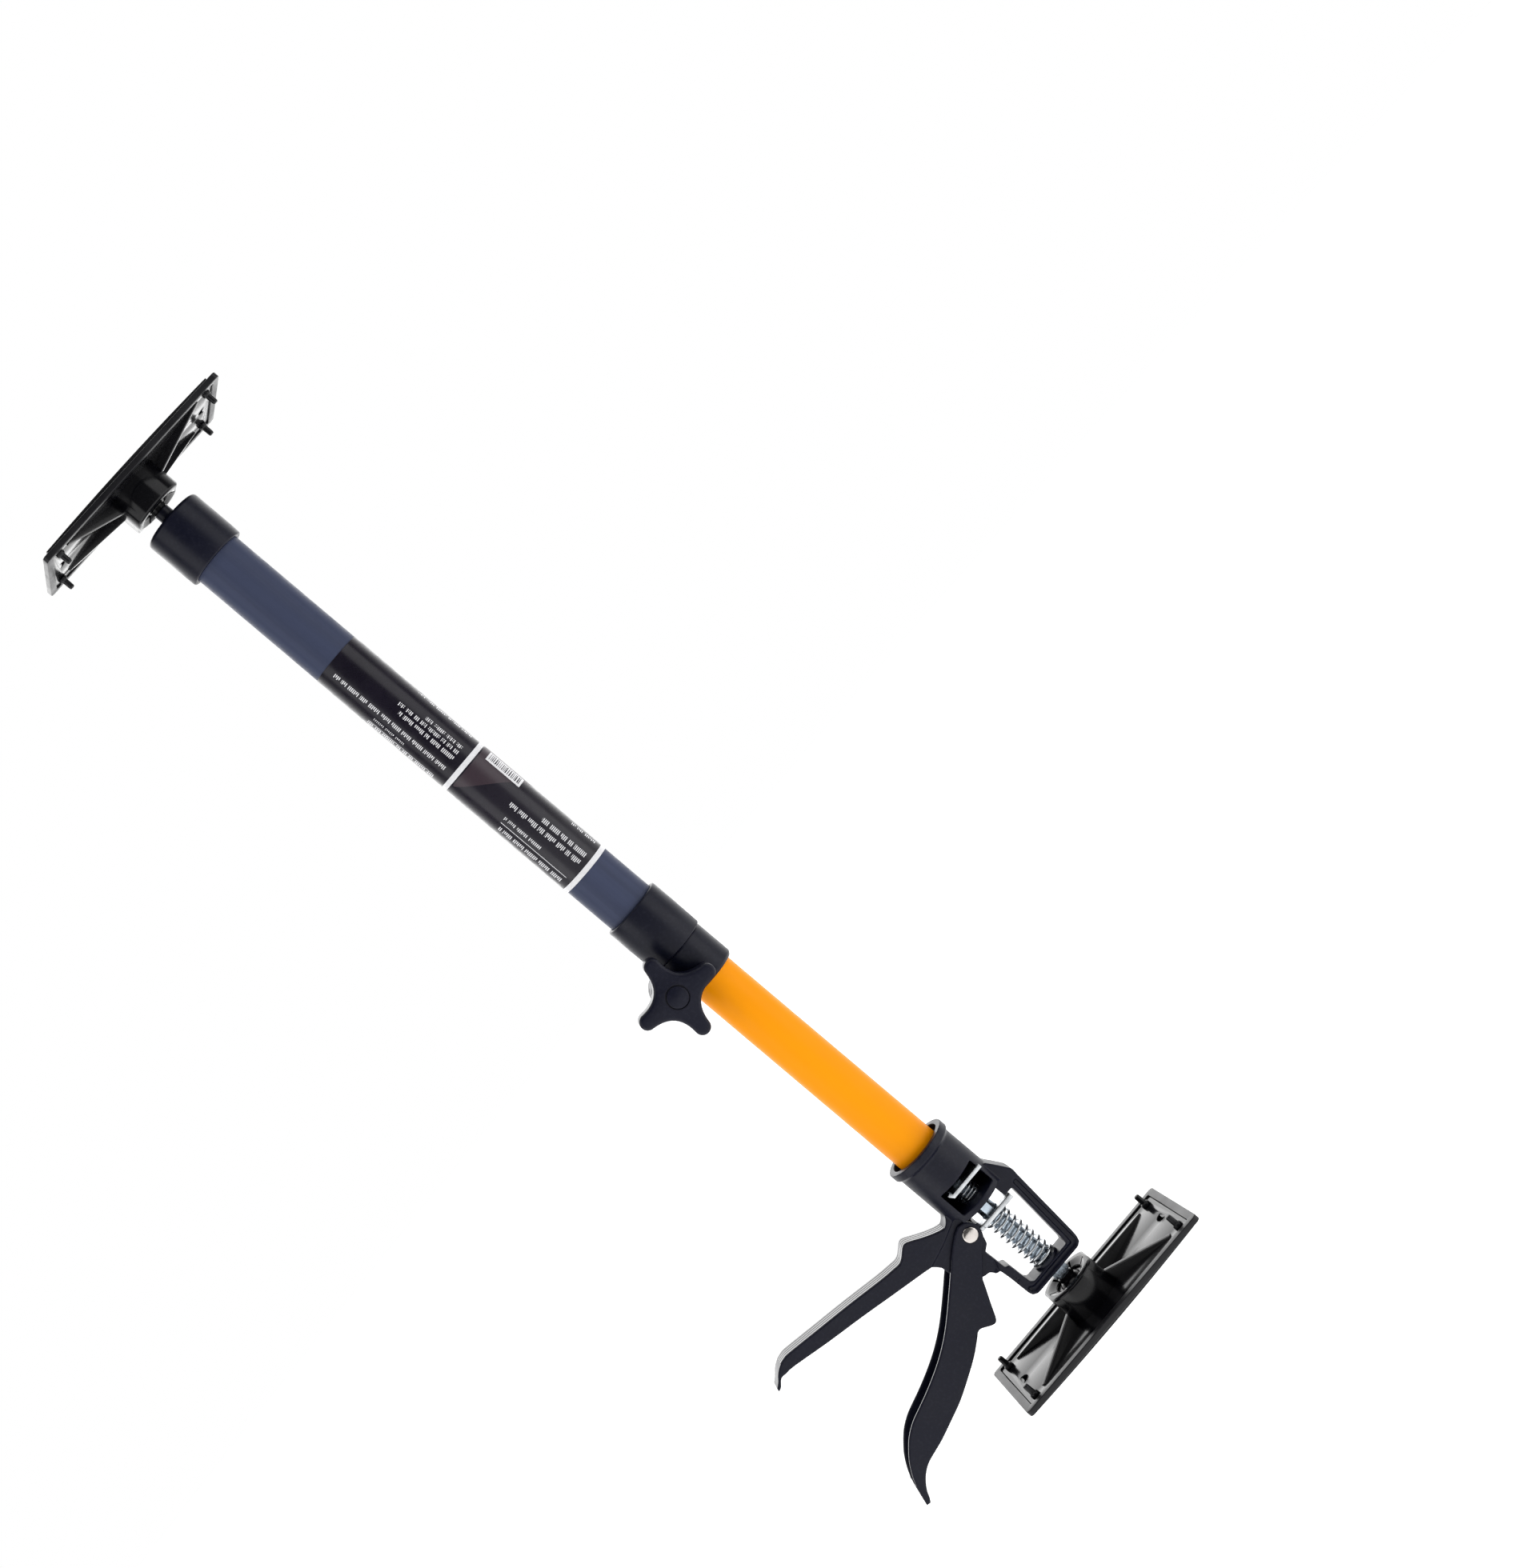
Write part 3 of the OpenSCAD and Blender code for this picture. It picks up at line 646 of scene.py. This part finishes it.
def printed_rows(bm, radius):
    """Generic rows of dashes along the tube, where a label carries its small print."""
    low, high = label_low.z, label_high.z
    deg = math.degrees(1 * MM / radius)
    rows = [
        (-69, 3.2, low + 88 * MM, high - 32 * MM), (-47, 1.4, low + 109 * MM, high - 33 * MM),
        (-27.5, 2.3, low + 86 * MM, high - 5 * MM), (-1.2, 2.2, low + 86 * MM, low + 121 * MM),
        (13, 2.0, low + 86 * MM, low + 125 * MM), (26, 2.0, low + 86 * MM, low + 110 * MM),
        (70, 2.0, low + 86 * MM, low + 120 * MM),
        (-55, 3.2, low + 7 * MM, low + 47 * MM), (-26, 1.8, low + 25 * MM, low + 48 * MM),
        (2.4, 2.6, low + 6 * MM, low + 50.5 * MM), (21, 2.6, low + 6 * MM, low + 33.5 * MM),
        (65, 2.4, low + 6 * MM, low + 22 * MM),
        (130, 2.2, low + 10 * MM, low + 70 * MM), (146, 2.0, low + 10 * MM, low + 60 * MM),
        (200, 2.2, low + 90 * MM, low + 150 * MM), (216, 2.0, low + 90 * MM, low + 140 * MM),
    ]
    for angle, height, start, end in rows:
        z = start
        while z < end:
            word = random.uniform(2.2, 7.5) * MM
            top = min(z + word, end)
            half = height * deg * 0.5
            # A word is a run of short strokes of uneven height.
            stroke = z
            while stroke < top:
                lift = random.choice((1.0, 1.0, 0.72))
                patch(bm, angle + half - 2 * half * lift, angle + half, stroke,
                      min(stroke + 0.5 * MM, top), radius)
                stroke += 0.95 * MM
            z = top + 1.3 * MM
    # Rules beside the two largest rows.
    for angle, start, end in ((-39.5, low + 6 * MM, low + 48 * MM),
                              (-61, low + 88 * MM, high - 32 * MM)):
        patch(bm, angle, angle + 0.35 * MM * math.degrees(1) / radius, start, end, radius)


def barcode(bm, radius, bars):
    """A pale panel, or its bars, near the right of the label."""
    low = label_low.z + 73.8 * MM
    deg = math.degrees(1 * MM / radius)
    start = 42
    if not bars:
        patch(bm, start, start + 8.5 * deg, low - 21.5 * MM, low, radius)
        return
    z = low - 20.2 * MM
    while z < low - 1.2 * MM:
        wide = random.choice((0.28, 0.42, 0.62)) * MM
        patch(bm, start + 1.4 * deg, start + 7.6 * deg, z, z + wide, radius)
        z += wide + random.choice((0.32, 0.46, 0.7)) * MM


def label_print():
    skin = (label_high.x - label_low.x) / 2
    white = bmesh.new()
    for z in (label_low.z, label_low.z + 78.4 * MM):
        patch(white, -180, 180, z + 0.05 * MM, z + 2.8 * MM, skin + 0.012 * MM)
    printed_rows(white, skin + 0.012 * MM)
    barcode(white, skin + 0.012 * MM, False)
    place(from_bmesh("label_print_white", white), WHITE_INK, "label_film", "upper")
    dark = bmesh.new()
    barcode(dark, skin + 0.02 * MM, True)
    place(from_bmesh("label_print_bars", dark), LABEL, "label_film", "upper")
    plum = bmesh.new()
    top = label_low.z + 77.6 * MM
    patch(plum, -46, 92, top - 1 * MM, top, skin + 0.006 * MM, -32 * MM)
    place(from_bmesh("label_print_field", plum), PLUM_INK, "label_film", "upper")


label_print()


# ---- collars, cap and stud -------------------------------------------------------------

def collar_sleeve():
    outer = (sleeve_high.x - sleeve_low.x) / 2
    inner = 12.85 * MM
    low, high = sleeve_low.z, sleeve_high.z
    outline = [(inner, low, 0.2 * MM), (outer - 0.2 * MM, low, 0.8 * MM),
               (outer, low + 12 * MM, 3 * MM), (outer, high, 1.4 * MM),
               (tube_r + 0.5 * MM, high, 0.3 * MM), (tube_r, high - 0.8 * MM, 0),
               (tube_r, low + 2.05 * MM, 0), (inner, low + 2.05 * MM, 0)]
    return lathe("collar_sleeve_moulding", rounded_path(outline, 6), 128)


def top_cap():
    outer = (cap_high.x - cap_low.x) / 2
    low, high = cap_low.z, cap_high.z
    outline = [(tube_r + 0.15 * MM, low, 0.3 * MM), (outer - 0.15 * MM, low, 0.9 * MM),
               (outer, low + 6 * MM, 2 * MM), (outer, high - 0.4 * MM, 2.2 * MM),
               (STUD_HOLE, high, 0), (STUD_HOLE, high - 2.8 * MM, 0),
               (tube_r, high - 2.8 * MM, 0)]
    return lathe("top_cap_moulding", rounded_path(outline, 7), 128)


def top_stud():
    low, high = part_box("top_stud")
    base = cap_high.z - 0.02 * MM
    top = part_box("top_ball")[0].z - 0.15 * MM
    flare = [(NECK_R + 1.95 * MM * (1 - math.sin(a)), base + 2.6 * MM * (1 - math.cos(a)))
             for a in (math.radians(d) for d in range(0, 91, 9))]
    outline = [(0.0001 * MM, low.z), (3 * MM, low.z), (3 * MM, base), (6.2 * MM, base),
               *flare, (NECK_R, top - 0.3 * MM), (NECK_R - 0.3 * MM, top), (3 * MM, top),
               (3 * MM, high.z - 0.4 * MM), (2.6 * MM, high.z), (0.0001 * MM, high.z)]
    return lathe("top_stud_turned", outline, 72)


place(collar_sleeve(), BLACK, "black_abs", "upper", "collar_sleeve")
place(top_cap(), BLACK, "black_abs", "upper", "top_cap")
place(top_stud(), BLACK, "black_abs", "upper", "top_stud")
place(moulded(node_copy("clamp_collar_moulding", "clamp_collar"), 0.4 * MM, 3),
      BLACK, "black_abs", "upper", "clamp_collar", degrees=60)


# ---- knob ------------------------------------------------------------------------------

KNOB_REACH = 18.8 * MM
KNOB_TIP = 4.2 * MM
KNOB_VALLEY = 11.6 * MM
KNOB_TURN = -9.5
TIP_SWEEP = 92


def knob_outline(reach, tip, valley, turn, tip_steps=14, valley_steps=12):
    """Four round tips joined by hollow curves, as seen along the screw."""
    out = []
    for k in range(4):
        here = math.radians(turn + 90 * k)
        for i in range(tip_steps + 1):
            a = here + math.radians(-TIP_SWEEP + 2 * TIP_SWEEP * i / tip_steps)
            out.append((reach * math.cos(here) + tip * math.cos(a),
                        reach * math.sin(here) + tip * math.sin(a)))
        # The hollow between this tip and the next.
        start = Vector(out[-1])
        after = math.radians(turn + 90 * (k + 1))
        b = after + math.radians(-TIP_SWEEP)
        end = Vector((reach * math.cos(after) + tip * math.cos(b),
                      reach * math.sin(after) + tip * math.sin(b)))
        between = math.radians(turn + 90 * k + 45)
        deep = Vector((math.cos(between), math.sin(between))) * valley
        pull = deep * 2 - (start + end) / 2
        for i in range(1, valley_steps):
            t = i / valley_steps
            p = start * (1 - t) ** 2 + pull * 2 * t * (1 - t) + end * t ** 2
            out.append((p.x, p.y))
    return out


def knob():
    low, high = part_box("knob")
    centre = Vector((knob_mid.x, 0, knob_mid.z))
    shape = [(centre.x + x, centre.z + z)
             for x, z in knob_outline(KNOB_REACH, KNOB_TIP, KNOB_VALLEY, KNOB_TURN)]
    star = slab("star", shape, low.y + 0.2 * MM, low.y + 12.1 * MM, 1.7 * MM, steps=5)
    hub = turned_y(lathe("hub", rounded_path([
        (3.05 * MM, 0, 0.2 * MM), (9 * MM, 0, 0.6 * MM), (10.4 * MM, 6 * MM, 0.6 * MM),
        (3.05 * MM, 6 * MM, 0)]), 64), (centre.x, high.y, centre.z))
    groove = turned_y(ring("groove", 6.1 * MM, 5.45 * MM, 0, 2 * MM, 0.1 * MM, 64),
                      (centre.x, low.y + 1.1 * MM, centre.z))
    return joined("knob_moulding", [cut(star, groove), hub])


def knob_cap():
    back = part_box("knob_cap")[1].y
    outline = [(TINY_R, 0, 0), (5.4 * MM, 0, 0.1 * MM),
               (5.4 * MM, 1.15 * MM, 0.5 * MM), (TINY_R, 1.35 * MM, 0)]
    return turned_y(lathe("knob_cap_disc", rounded_path(outline), 64),
                    (knob_mid.x, back, knob_mid.z))


place(knob(), KNOB_BLACK, "black_abs", "knob", "knob", degrees=50)
place(knob_cap(), KNOB_BLACK, "black_abs", "knob", "knob_cap")


# ---- housing and trigger ---------------------------------------------------------------

def top_path(node, y, start, end):
    """Points along the top of a CAD node, found by looking down on it."""
    tree = BVHTree.FromObject(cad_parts[node], bpy.context.evaluated_depsgraph_get())
    steps = 90
    points = []
    for k in range(steps + 1):
        x = start + (end - start) * k / steps
        hit = tree.ray_cast(Vector((x, y, 0.2)), Vector((0, 0, -1)))[0]
        if hit is not None:
            points.append((x, hit.z))
    last = len(points) - 1
    return [(x, (points[max(i - 1, 0)][1] + z * 2 + points[min(i + 1, last)][1]) / 4)
            for i, (x, z) in enumerate(points)]


def top_strip(node, y0, y1, start, end, proud):
    """A narrow polished land that follows the top of a moulding."""
    bm = bmesh.new()
    soft = min(0.25 * MM, (y1 - y0) / 4)
    rows = []
    for x, z in top_path(node, (y0 + y1) / 2, start, end):
        section = [(y0, z - 0.3 * MM), (y0, z + proud - soft), (y0 + soft, z + proud),
                   (y1 - soft, z + proud), (y1, z + proud - soft), (y1, z - 0.3 * MM)]
        rows.append([bm.verts.new((x, y, level)) for y, level in section])
    for here, after in zip(rows, rows[1:]):
        for i in range(len(here)):
            k = (i + 1) % len(here)
            bm.faces.new((here[i], here[k], after[k], after[i]))
    bm.faces.new(rows[0][::-1])
    bm.faces.new(rows[-1])
    bmesh.ops.recalc_face_normals(bm, faces=bm.faces)
    return from_bmesh("strip", bm)


def grip_lands():
    """Four lands along the grip, parted by fine grooves."""
    lands = [(-6.0, -3.3), (-2.9, -0.2), (0.2, 2.9), (3.3, 6.0)]
    return joined("grip_lands", [top_strip("housing", a * MM, b * MM, -124 * MM, -21 * MM, 0.25 * MM)
                                 for a, b in lands])


def trigger_lands():
    """The polished top edge of each cheek."""
    lands = [(-7.6, -6.4), (6.4, 7.6)]
    return joined("trigger_lands", [top_strip("trigger", a * MM, b * MM, -127 * MM, -30 * MM,
                                              0.12 * MM) for a, b in lands])


def housing():
    """The CAD moulding with its edges softened as a mould leaves them."""
    return moulded(node_copy("housing_moulding", "housing"), 0.4 * MM, 3)


place(grip_lands(), POLISHED, "black_abs", "frame")
place(trigger_lands(), POLISHED, "black_abs", "trigger")
place(housing(), BLACK, "black_abs", "frame", "housing", degrees=60)
place(moulded(node_copy("trigger_moulding", "trigger"), 0.4 * MM, 2),
      BLACK, "black_abs", "trigger", "trigger", degrees=60)


def rivet():
    """Cross pin with a domed head on each side."""
    low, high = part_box("trigger_pin")
    half = (high.y - low.y) / 2
    face = half - 1.2 * MM
    dome = [(4.0 * MM * math.cos(a), face + 0.35 * MM + 0.85 * MM * math.sin(a))
            for a in (math.radians(d) for d in range(0, 91, 10))]
    side = [(2.5 * MM, face), (3.9 * MM, face), (4.0 * MM, face + 0.15 * MM), *dome]
    outline = [(max(r, TINY_R), z) for r, z in side]
    outline = outline + [(r, -z) for r, z in reversed(outline)]
    pin = lathe("trigger_rivet", outline, 64)
    return turned_y(pin, (pin_mid.x, 0, pin_mid.z))


place(rivet(), RIVET, "zinc_steel", "frame", "trigger_pin")


# ---- rod, plates and springs -----------------------------------------------------------

ROD_R = 4.6 * MM
ROD_CHAMFER = 0.7 * MM


def push_rod():
    """Hexagonal bar with a turned shank and chamfered shoulders."""
    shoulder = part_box("foot_ball")[1].z + 0.2 * MM
    bm = bmesh.new()
    levels = [(ROD_R - ROD_CHAMFER, shoulder), (ROD_R, shoulder + ROD_CHAMFER),
              (ROD_R, rod_high.z - ROD_CHAMFER), (ROD_R - ROD_CHAMFER, rod_high.z)]
    rings = [[bm.verts.new((r * math.cos(math.radians(60 * k)), r * math.sin(math.radians(60 * k)), z))
              for k in range(6)] for r, z in levels]
    for here, after in zip(rings, rings[1:]):
        for k in range(6):
            bm.faces.new((here[k], here[(k + 1) % 6], after[(k + 1) % 6], after[k]))
    bm.faces.new(rings[0][::-1])
    bm.faces.new(rings[-1])
    bar = from_bmesh("bar", bm)
    soft = bar.modifiers.new("edges", "BEVEL")
    soft.width = 0.35 * MM
    soft.segments = 3
    bar = settle(bar)
    shank = lathe("shank", rounded_path([
        (TINY_R, rod_low.z, 0), (3 * MM, rod_low.z, 0.5 * MM),
        (3 * MM, shoulder + 1 * MM, 0), (TINY_R, shoulder + 1 * MM, 0)]), 48)
    return joined("push_rod_bar", [bar, shank])


def circle(x, z, r, steps=48):
    return [(x + r * math.cos(2 * math.pi * k / steps), z + r * math.sin(2 * math.pi * k / steps))
            for k in range(steps)]


def stamped(name, node, width):
    """A CAD blank with its cut edges rolled over."""
    bm = bmesh.new()
    bm.from_mesh(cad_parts[node].data)
    bmesh.ops.remove_doubles(bm, verts=bm.verts, dist=1e-7)
    bmesh.ops.dissolve_limit(bm, angle_limit=math.radians(1), verts=bm.verts, edges=bm.edges)
    ob = from_bmesh(name, bm)
    edge = ob.modifiers.new("edge", "BEVEL")
    edge.width = width
    edge.segments = 3
    edge.limit_method = "ANGLE"
    edge.angle_limit = math.radians(40)
    return settle(ob)


place(push_rod(), ROD, "rod_steel", "rod", "push_rod", degrees=25)
place(stamped("drive_plate_blank", "drive_plate", 0.3 * MM), ZINC, "zinc_steel", "drive",
      "drive_plate")
place(stamped("release_plate_blade", "release_plate", 0.45 * MM), ZINC, "zinc_steel", "brake",
      "release_plate")

spring_low, spring_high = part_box("drive_spring")
spring = place(coil("drive_spring_wire", spring_low.z, spring_high.z, 9.5, 6.45 * MM, 0.7 * MM),
               WIRE, "zinc_steel", "frame", "drive_spring", degrees=80)
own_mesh(spring)
small_low, small_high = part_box("release_spring")
small = place(coil("release_spring_wire", small_low.z, small_high.z - 0.1 * MM, 5, 5.9 * MM, 0.5 * MM),
              WIRE, "zinc_steel", "frame", "release_spring", degrees=80)
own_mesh(small)


# ---- swivel pads -----------------------------------------------------------------------
# Drawn for the foot. The head's pieces are the same ones turned over and spun.

def for_head(ob):
    flip = Matrix.Scale(-1, 4, (0, 0, 1))
    ob.data.transform(Matrix.Translation((0, 0, head_top)) @ flip @ Matrix.Rotation(HEAD_TURN, 4, "Z"))
    ob.data.flip_normals()
    return ob


PAD_L = foot_high.x - foot_low.x
PAD_W = foot_high.y - foot_low.y
PLATE_Z = 3 * MM
PLATE_TOP = 5.2 * MM
RIM_TOP = foot_high.z
HUB_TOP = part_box("foot_plate")[1].z
BALL_H = HUB_TOP - 6.8 * MM
PLUG_X = 53.5 * MM
PLUG_Y = 26.5 * MM
BALL_R = 7.5 * MM
BOWL_R = 8.8 * MM
HUB_R = 16.5 * MM
HUB_FLAT = 14.3 * MM
RIB_HALF = 1.45 * MM
CROWN = 0.9 * MM


def box_outline(length, width, corner, steps=8):
    x, y = length / 2, width / 2
    return rounded_path([(-x, -y, corner), (x, -y, corner), (x, y, corner), (-x, y, corner)], steps)


def level_slab(name, outline, low, high, bevel, holes=(), steps=3):
    """An outline in X and Y made solid between two heights."""
    ob = slab(name, outline, low, high, bevel, holes, steps)
    ob.data.transform(Matrix.Rotation(math.radians(-90), 4, "X"))
    return ob


def pad_rubber(name):
    """Rubber shoe: a rim that wraps the plate and a crowned bearing face with grip lines."""
    rim = level_slab("rim", box_outline(PAD_L, PAD_W, 2.6 * MM), -RIM_TOP, -2.9 * MM, 0.35 * MM,
                     [box_outline(PAD_L - 8.4 * MM, PAD_W - 8.4 * MM, 1.2 * MM)], 4)
    sole = level_slab("sole", box_outline(PAD_L - 8 * MM, PAD_W - 8 * MM, 1.2 * MM),
                      -3.0 * MM, -2.3 * MM, 0.2 * MM)
    reach = PAD_L / 2 - 4.5 * MM

    def crown(x):
        return CROWN * (x / reach) ** 2

    bow = [(reach * k / 12, crown(reach * k / 12) + 0.3 * MM) for k in range(-12, 13)]
    face = slab("face", [*bow, (reach, 2.6 * MM), (-reach, 2.6 * MM)],
                -PAD_W / 2 + 4.5 * MM, PAD_W / 2 - 4.5 * MM, 0.4 * MM)
    parts = [rim, sole, face]
    # Lines across the face that grip.
    half = (PAD_W - 13 * MM) / 2
    span = PAD_L - 16 * MM
    count = 24
    for k in range(count):
        x = -span / 2 + span * (k + 0.5) / count
        parts.append(level_slab("grip", box_outline(2.6 * MM, 2 * half, 0.6 * MM, 3),
                                -0.6 * MM, 0, 0.28 * MM, steps=2))
        parts[-1].data.transform(Matrix.Translation((x, 0, crown(x))))
    return joined(name, parts)


def rib(side, angle):
    """One tapered rib from the hub out to a corner."""
    shape = [(9 * MM, PLATE_Z, 0), (54 * MM, PLATE_Z, 0), (54.6 * MM, PLATE_TOP + 0.5 * MM, 0.4 * MM),
             (13.6 * MM, 12.8 * MM, 0.5 * MM), (9 * MM, 12.8 * MM, 0)]
    ob = slab("rib", rounded_path(shape), -RIB_HALF, RIB_HALF, 0.45 * MM)
    ob.data.transform(Matrix.Rotation(math.radians(angle) * side, 4, "Z"))
    return ob


def hub_outline(radius, flat, steps=16):
    """A circle cut by a flat at each end."""
    edge = math.degrees(math.asin(math.sqrt(radius ** 2 - flat ** 2) / radius))
    out = []
    for start in (edge, 180 + edge):
        for k in range(steps + 1):
            a = math.radians(start + (180 - 2 * edge) * k / steps)
            out.append((radius * math.cos(a), radius * math.sin(a)))
    return out


def crescent(side):
    """Outline of the moon-shaped slot near each end, its round side towards the hub."""
    bends = [math.radians(d) for d in range(-80, 81, 10)]
    outer = [(54 - 4.2 * math.cos(a), 4.2 * math.sin(a)) for a in bends]
    inner = [(54.2 - 1.6 * math.cos(a), 4.2 * math.sin(a)) for a in reversed(bends[1:-1])]
    return [(side * x * MM, y * MM) for x, y in outer + inner]


def pad_plate(name):
    """Glossy plate with crossed ribs, hub, corner holes and a moon-shaped slot at each end."""
    holes = [circle(sx * PLUG_X, sy * PLUG_Y, 1.9 * MM, 24) for sx in (-1, 1) for sy in (-1, 1)]
    slots = [crescent(sx) for sx in (-1, 1)]
    parts = [level_slab("sheet", box_outline(PAD_L - 8.6 * MM, PAD_W - 8.6 * MM, 1.2 * MM),
                        -PLATE_TOP, -PLATE_Z, 0.35 * MM, holes + slots)]
    angle = math.degrees(math.atan2(28, 50))
    for side, a in ((1, angle), (-1, angle), (1, 180 - angle), (1, 180 + angle)):
        parts.append(rib(side, a))
    hub = level_slab("hub", hub_outline(HUB_R, HUB_FLAT), -HUB_TOP, -PLATE_Z - 0.1 * MM, 1.2 * MM)
    bowl = lathe("bowl", [
        *[(max(BOWL_R * math.sin(a), TINY_R), BALL_H - BOWL_R * math.cos(a))
          for a in (math.radians(d) for d in range(0, 112, 7))],
        (8.35 * MM, BALL_H + 4.6 * MM), (12.6 * MM, BALL_H + 4.6 * MM), (12.6 * MM, HUB_TOP + 1 * MM),
        (TINY_R, HUB_TOP + 1 * MM)], 72)
    parts.append(cut(hub, bowl))
    return joined(name, parts)


def pad_plug(name):
    """Four pull-through rubber tails: a collar above the plate, then a long taper."""
    parts = []
    outline = [(TINY_R, PLATE_Z, 0), (1.88 * MM, PLATE_Z, 0), (1.88 * MM, PLATE_TOP, 0),
               (2.45 * MM, PLATE_TOP + 0.15 * MM, 0.2 * MM), (2.2 * MM, PLATE_TOP + 1.6 * MM, 0.3 * MM),
               (1.6 * MM, PLATE_TOP + 2.1 * MM, 0.3 * MM), (1.5 * MM, PLATE_TOP + 6.4 * MM, 0.2 * MM),
               (1.15 * MM, PLATE_TOP + 7.1 * MM, 0.2 * MM), (TINY_R, PLATE_TOP + 7.1 * MM, 0)]
    for sx in (-1, 1):
        for sy in (-1, 1):
            parts.append(lathe("plug", rounded_path(outline, 3), 24, (sx * PLUG_X, sy * PLUG_Y)))
    return joined(name, parts)


def pad_petals(name):
    """Dished retaining ring parted into petals round the neck."""
    parts = []
    low = BALL_H + 4.62 * MM
    high = HUB_TOP
    petals = 6
    gap = 3.2
    steps = 10
    for p in range(petals):
        bm = bmesh.new()
        rows = []
        for k in range(steps + 1):
            a = math.radians(60 * p + gap + (60 - 2 * gap) * k / steps)
            ridge = 0.25 * MM * math.sin(math.pi * k / steps)
            section = [(8.4 * MM, low + 0.1 * MM), (8.7 * MM, low + 0.5 * MM + ridge),
                       (10.4 * MM, low + 1.25 * MM + ridge), (12.0 * MM, high - 0.05 * MM),
                       (12.5 * MM, high - 0.02 * MM), (12.5 * MM, low)]
            rows.append([bm.verts.new((r * math.cos(a), r * math.sin(a), z)) for r, z in section])
        for here, after in zip(rows, rows[1:]):
            for i in range(len(here)):
                j = (i + 1) % len(here)
                bm.faces.new((here[i], after[i], after[j], here[j]))
        bm.faces.new(rows[0])
        bm.faces.new(rows[-1][::-1])
        bmesh.ops.recalc_face_normals(bm, faces=bm.faces)
        parts.append(from_bmesh("petal", bm))
    return joined(name, parts)


def pad_ball(name):
    """Ball on a short neck, with a soft root between them."""
    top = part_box("foot_ball")[1].z
    arc = [(BALL_R * math.sin(a), BALL_H - BALL_R * math.cos(a))
           for a in (math.radians(24 + k * 4) for k in range(31))]
    outline = [(STUD_HOLE, BALL_H - 4 * MM), (STUD_HOLE, BALL_H - 6.85 * MM), *arc,
               (NECK_R, BALL_H + 6.6 * MM), (NECK_R, top - 0.3 * MM),
               (NECK_R - 0.3 * MM, top), (STUD_HOLE, top)]
    return lathe(name, outline, 72)


def pad_pieces(prefix, body, finish):
    """All the looks of one pad; finish turns them over for the head."""
    place(finish(pad_rubber(prefix + "_rubber_shoe")), RUBBER, "pad_rubber", body, prefix + "_rubber")
    place(finish(pad_plate(prefix + "_plate_moulding")), GLOSS, "gloss_black", body,
          prefix + "_plate")
    place(finish(pad_plug(prefix + "_plug_tails")), RUBBER, "pad_rubber", body, prefix + "_plugs")
    place(finish(pad_petals(prefix + "_petal_ring")), GLOSS, "gloss_black", body,
          prefix + "_retainer", degrees=25)


pad_pieces("foot", "foot", lambda ob: ob)
pad_pieces("top", "head", for_head)
place(pad_ball("foot_ball_turned"), GLOSS, "gloss_black", "foot_ball", "foot_ball")
place(for_head(pad_ball("top_ball_turned")), GLOSS, "gloss_black", "head_ball", "top_ball")


# ---- CAD nodes that stay ---------------------------------------------------------------

KEPT = {
    "tube_rivet": ZINC, "rod_guide": NYLON, "spring_seat": BLACK, "tube_bush": NYLON,
    "rod_stop": NYLON, "foot_cup": GLOSS, "top_cup": GLOSS, "clamp_liner": NYLON,
    "clamp_screw": ZINC, "clamp_nut": ZINC,
}
for name, mat in KEPT.items():
    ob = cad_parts[name]
    ob.data.materials.clear()
    ob.data.materials.append(mat)
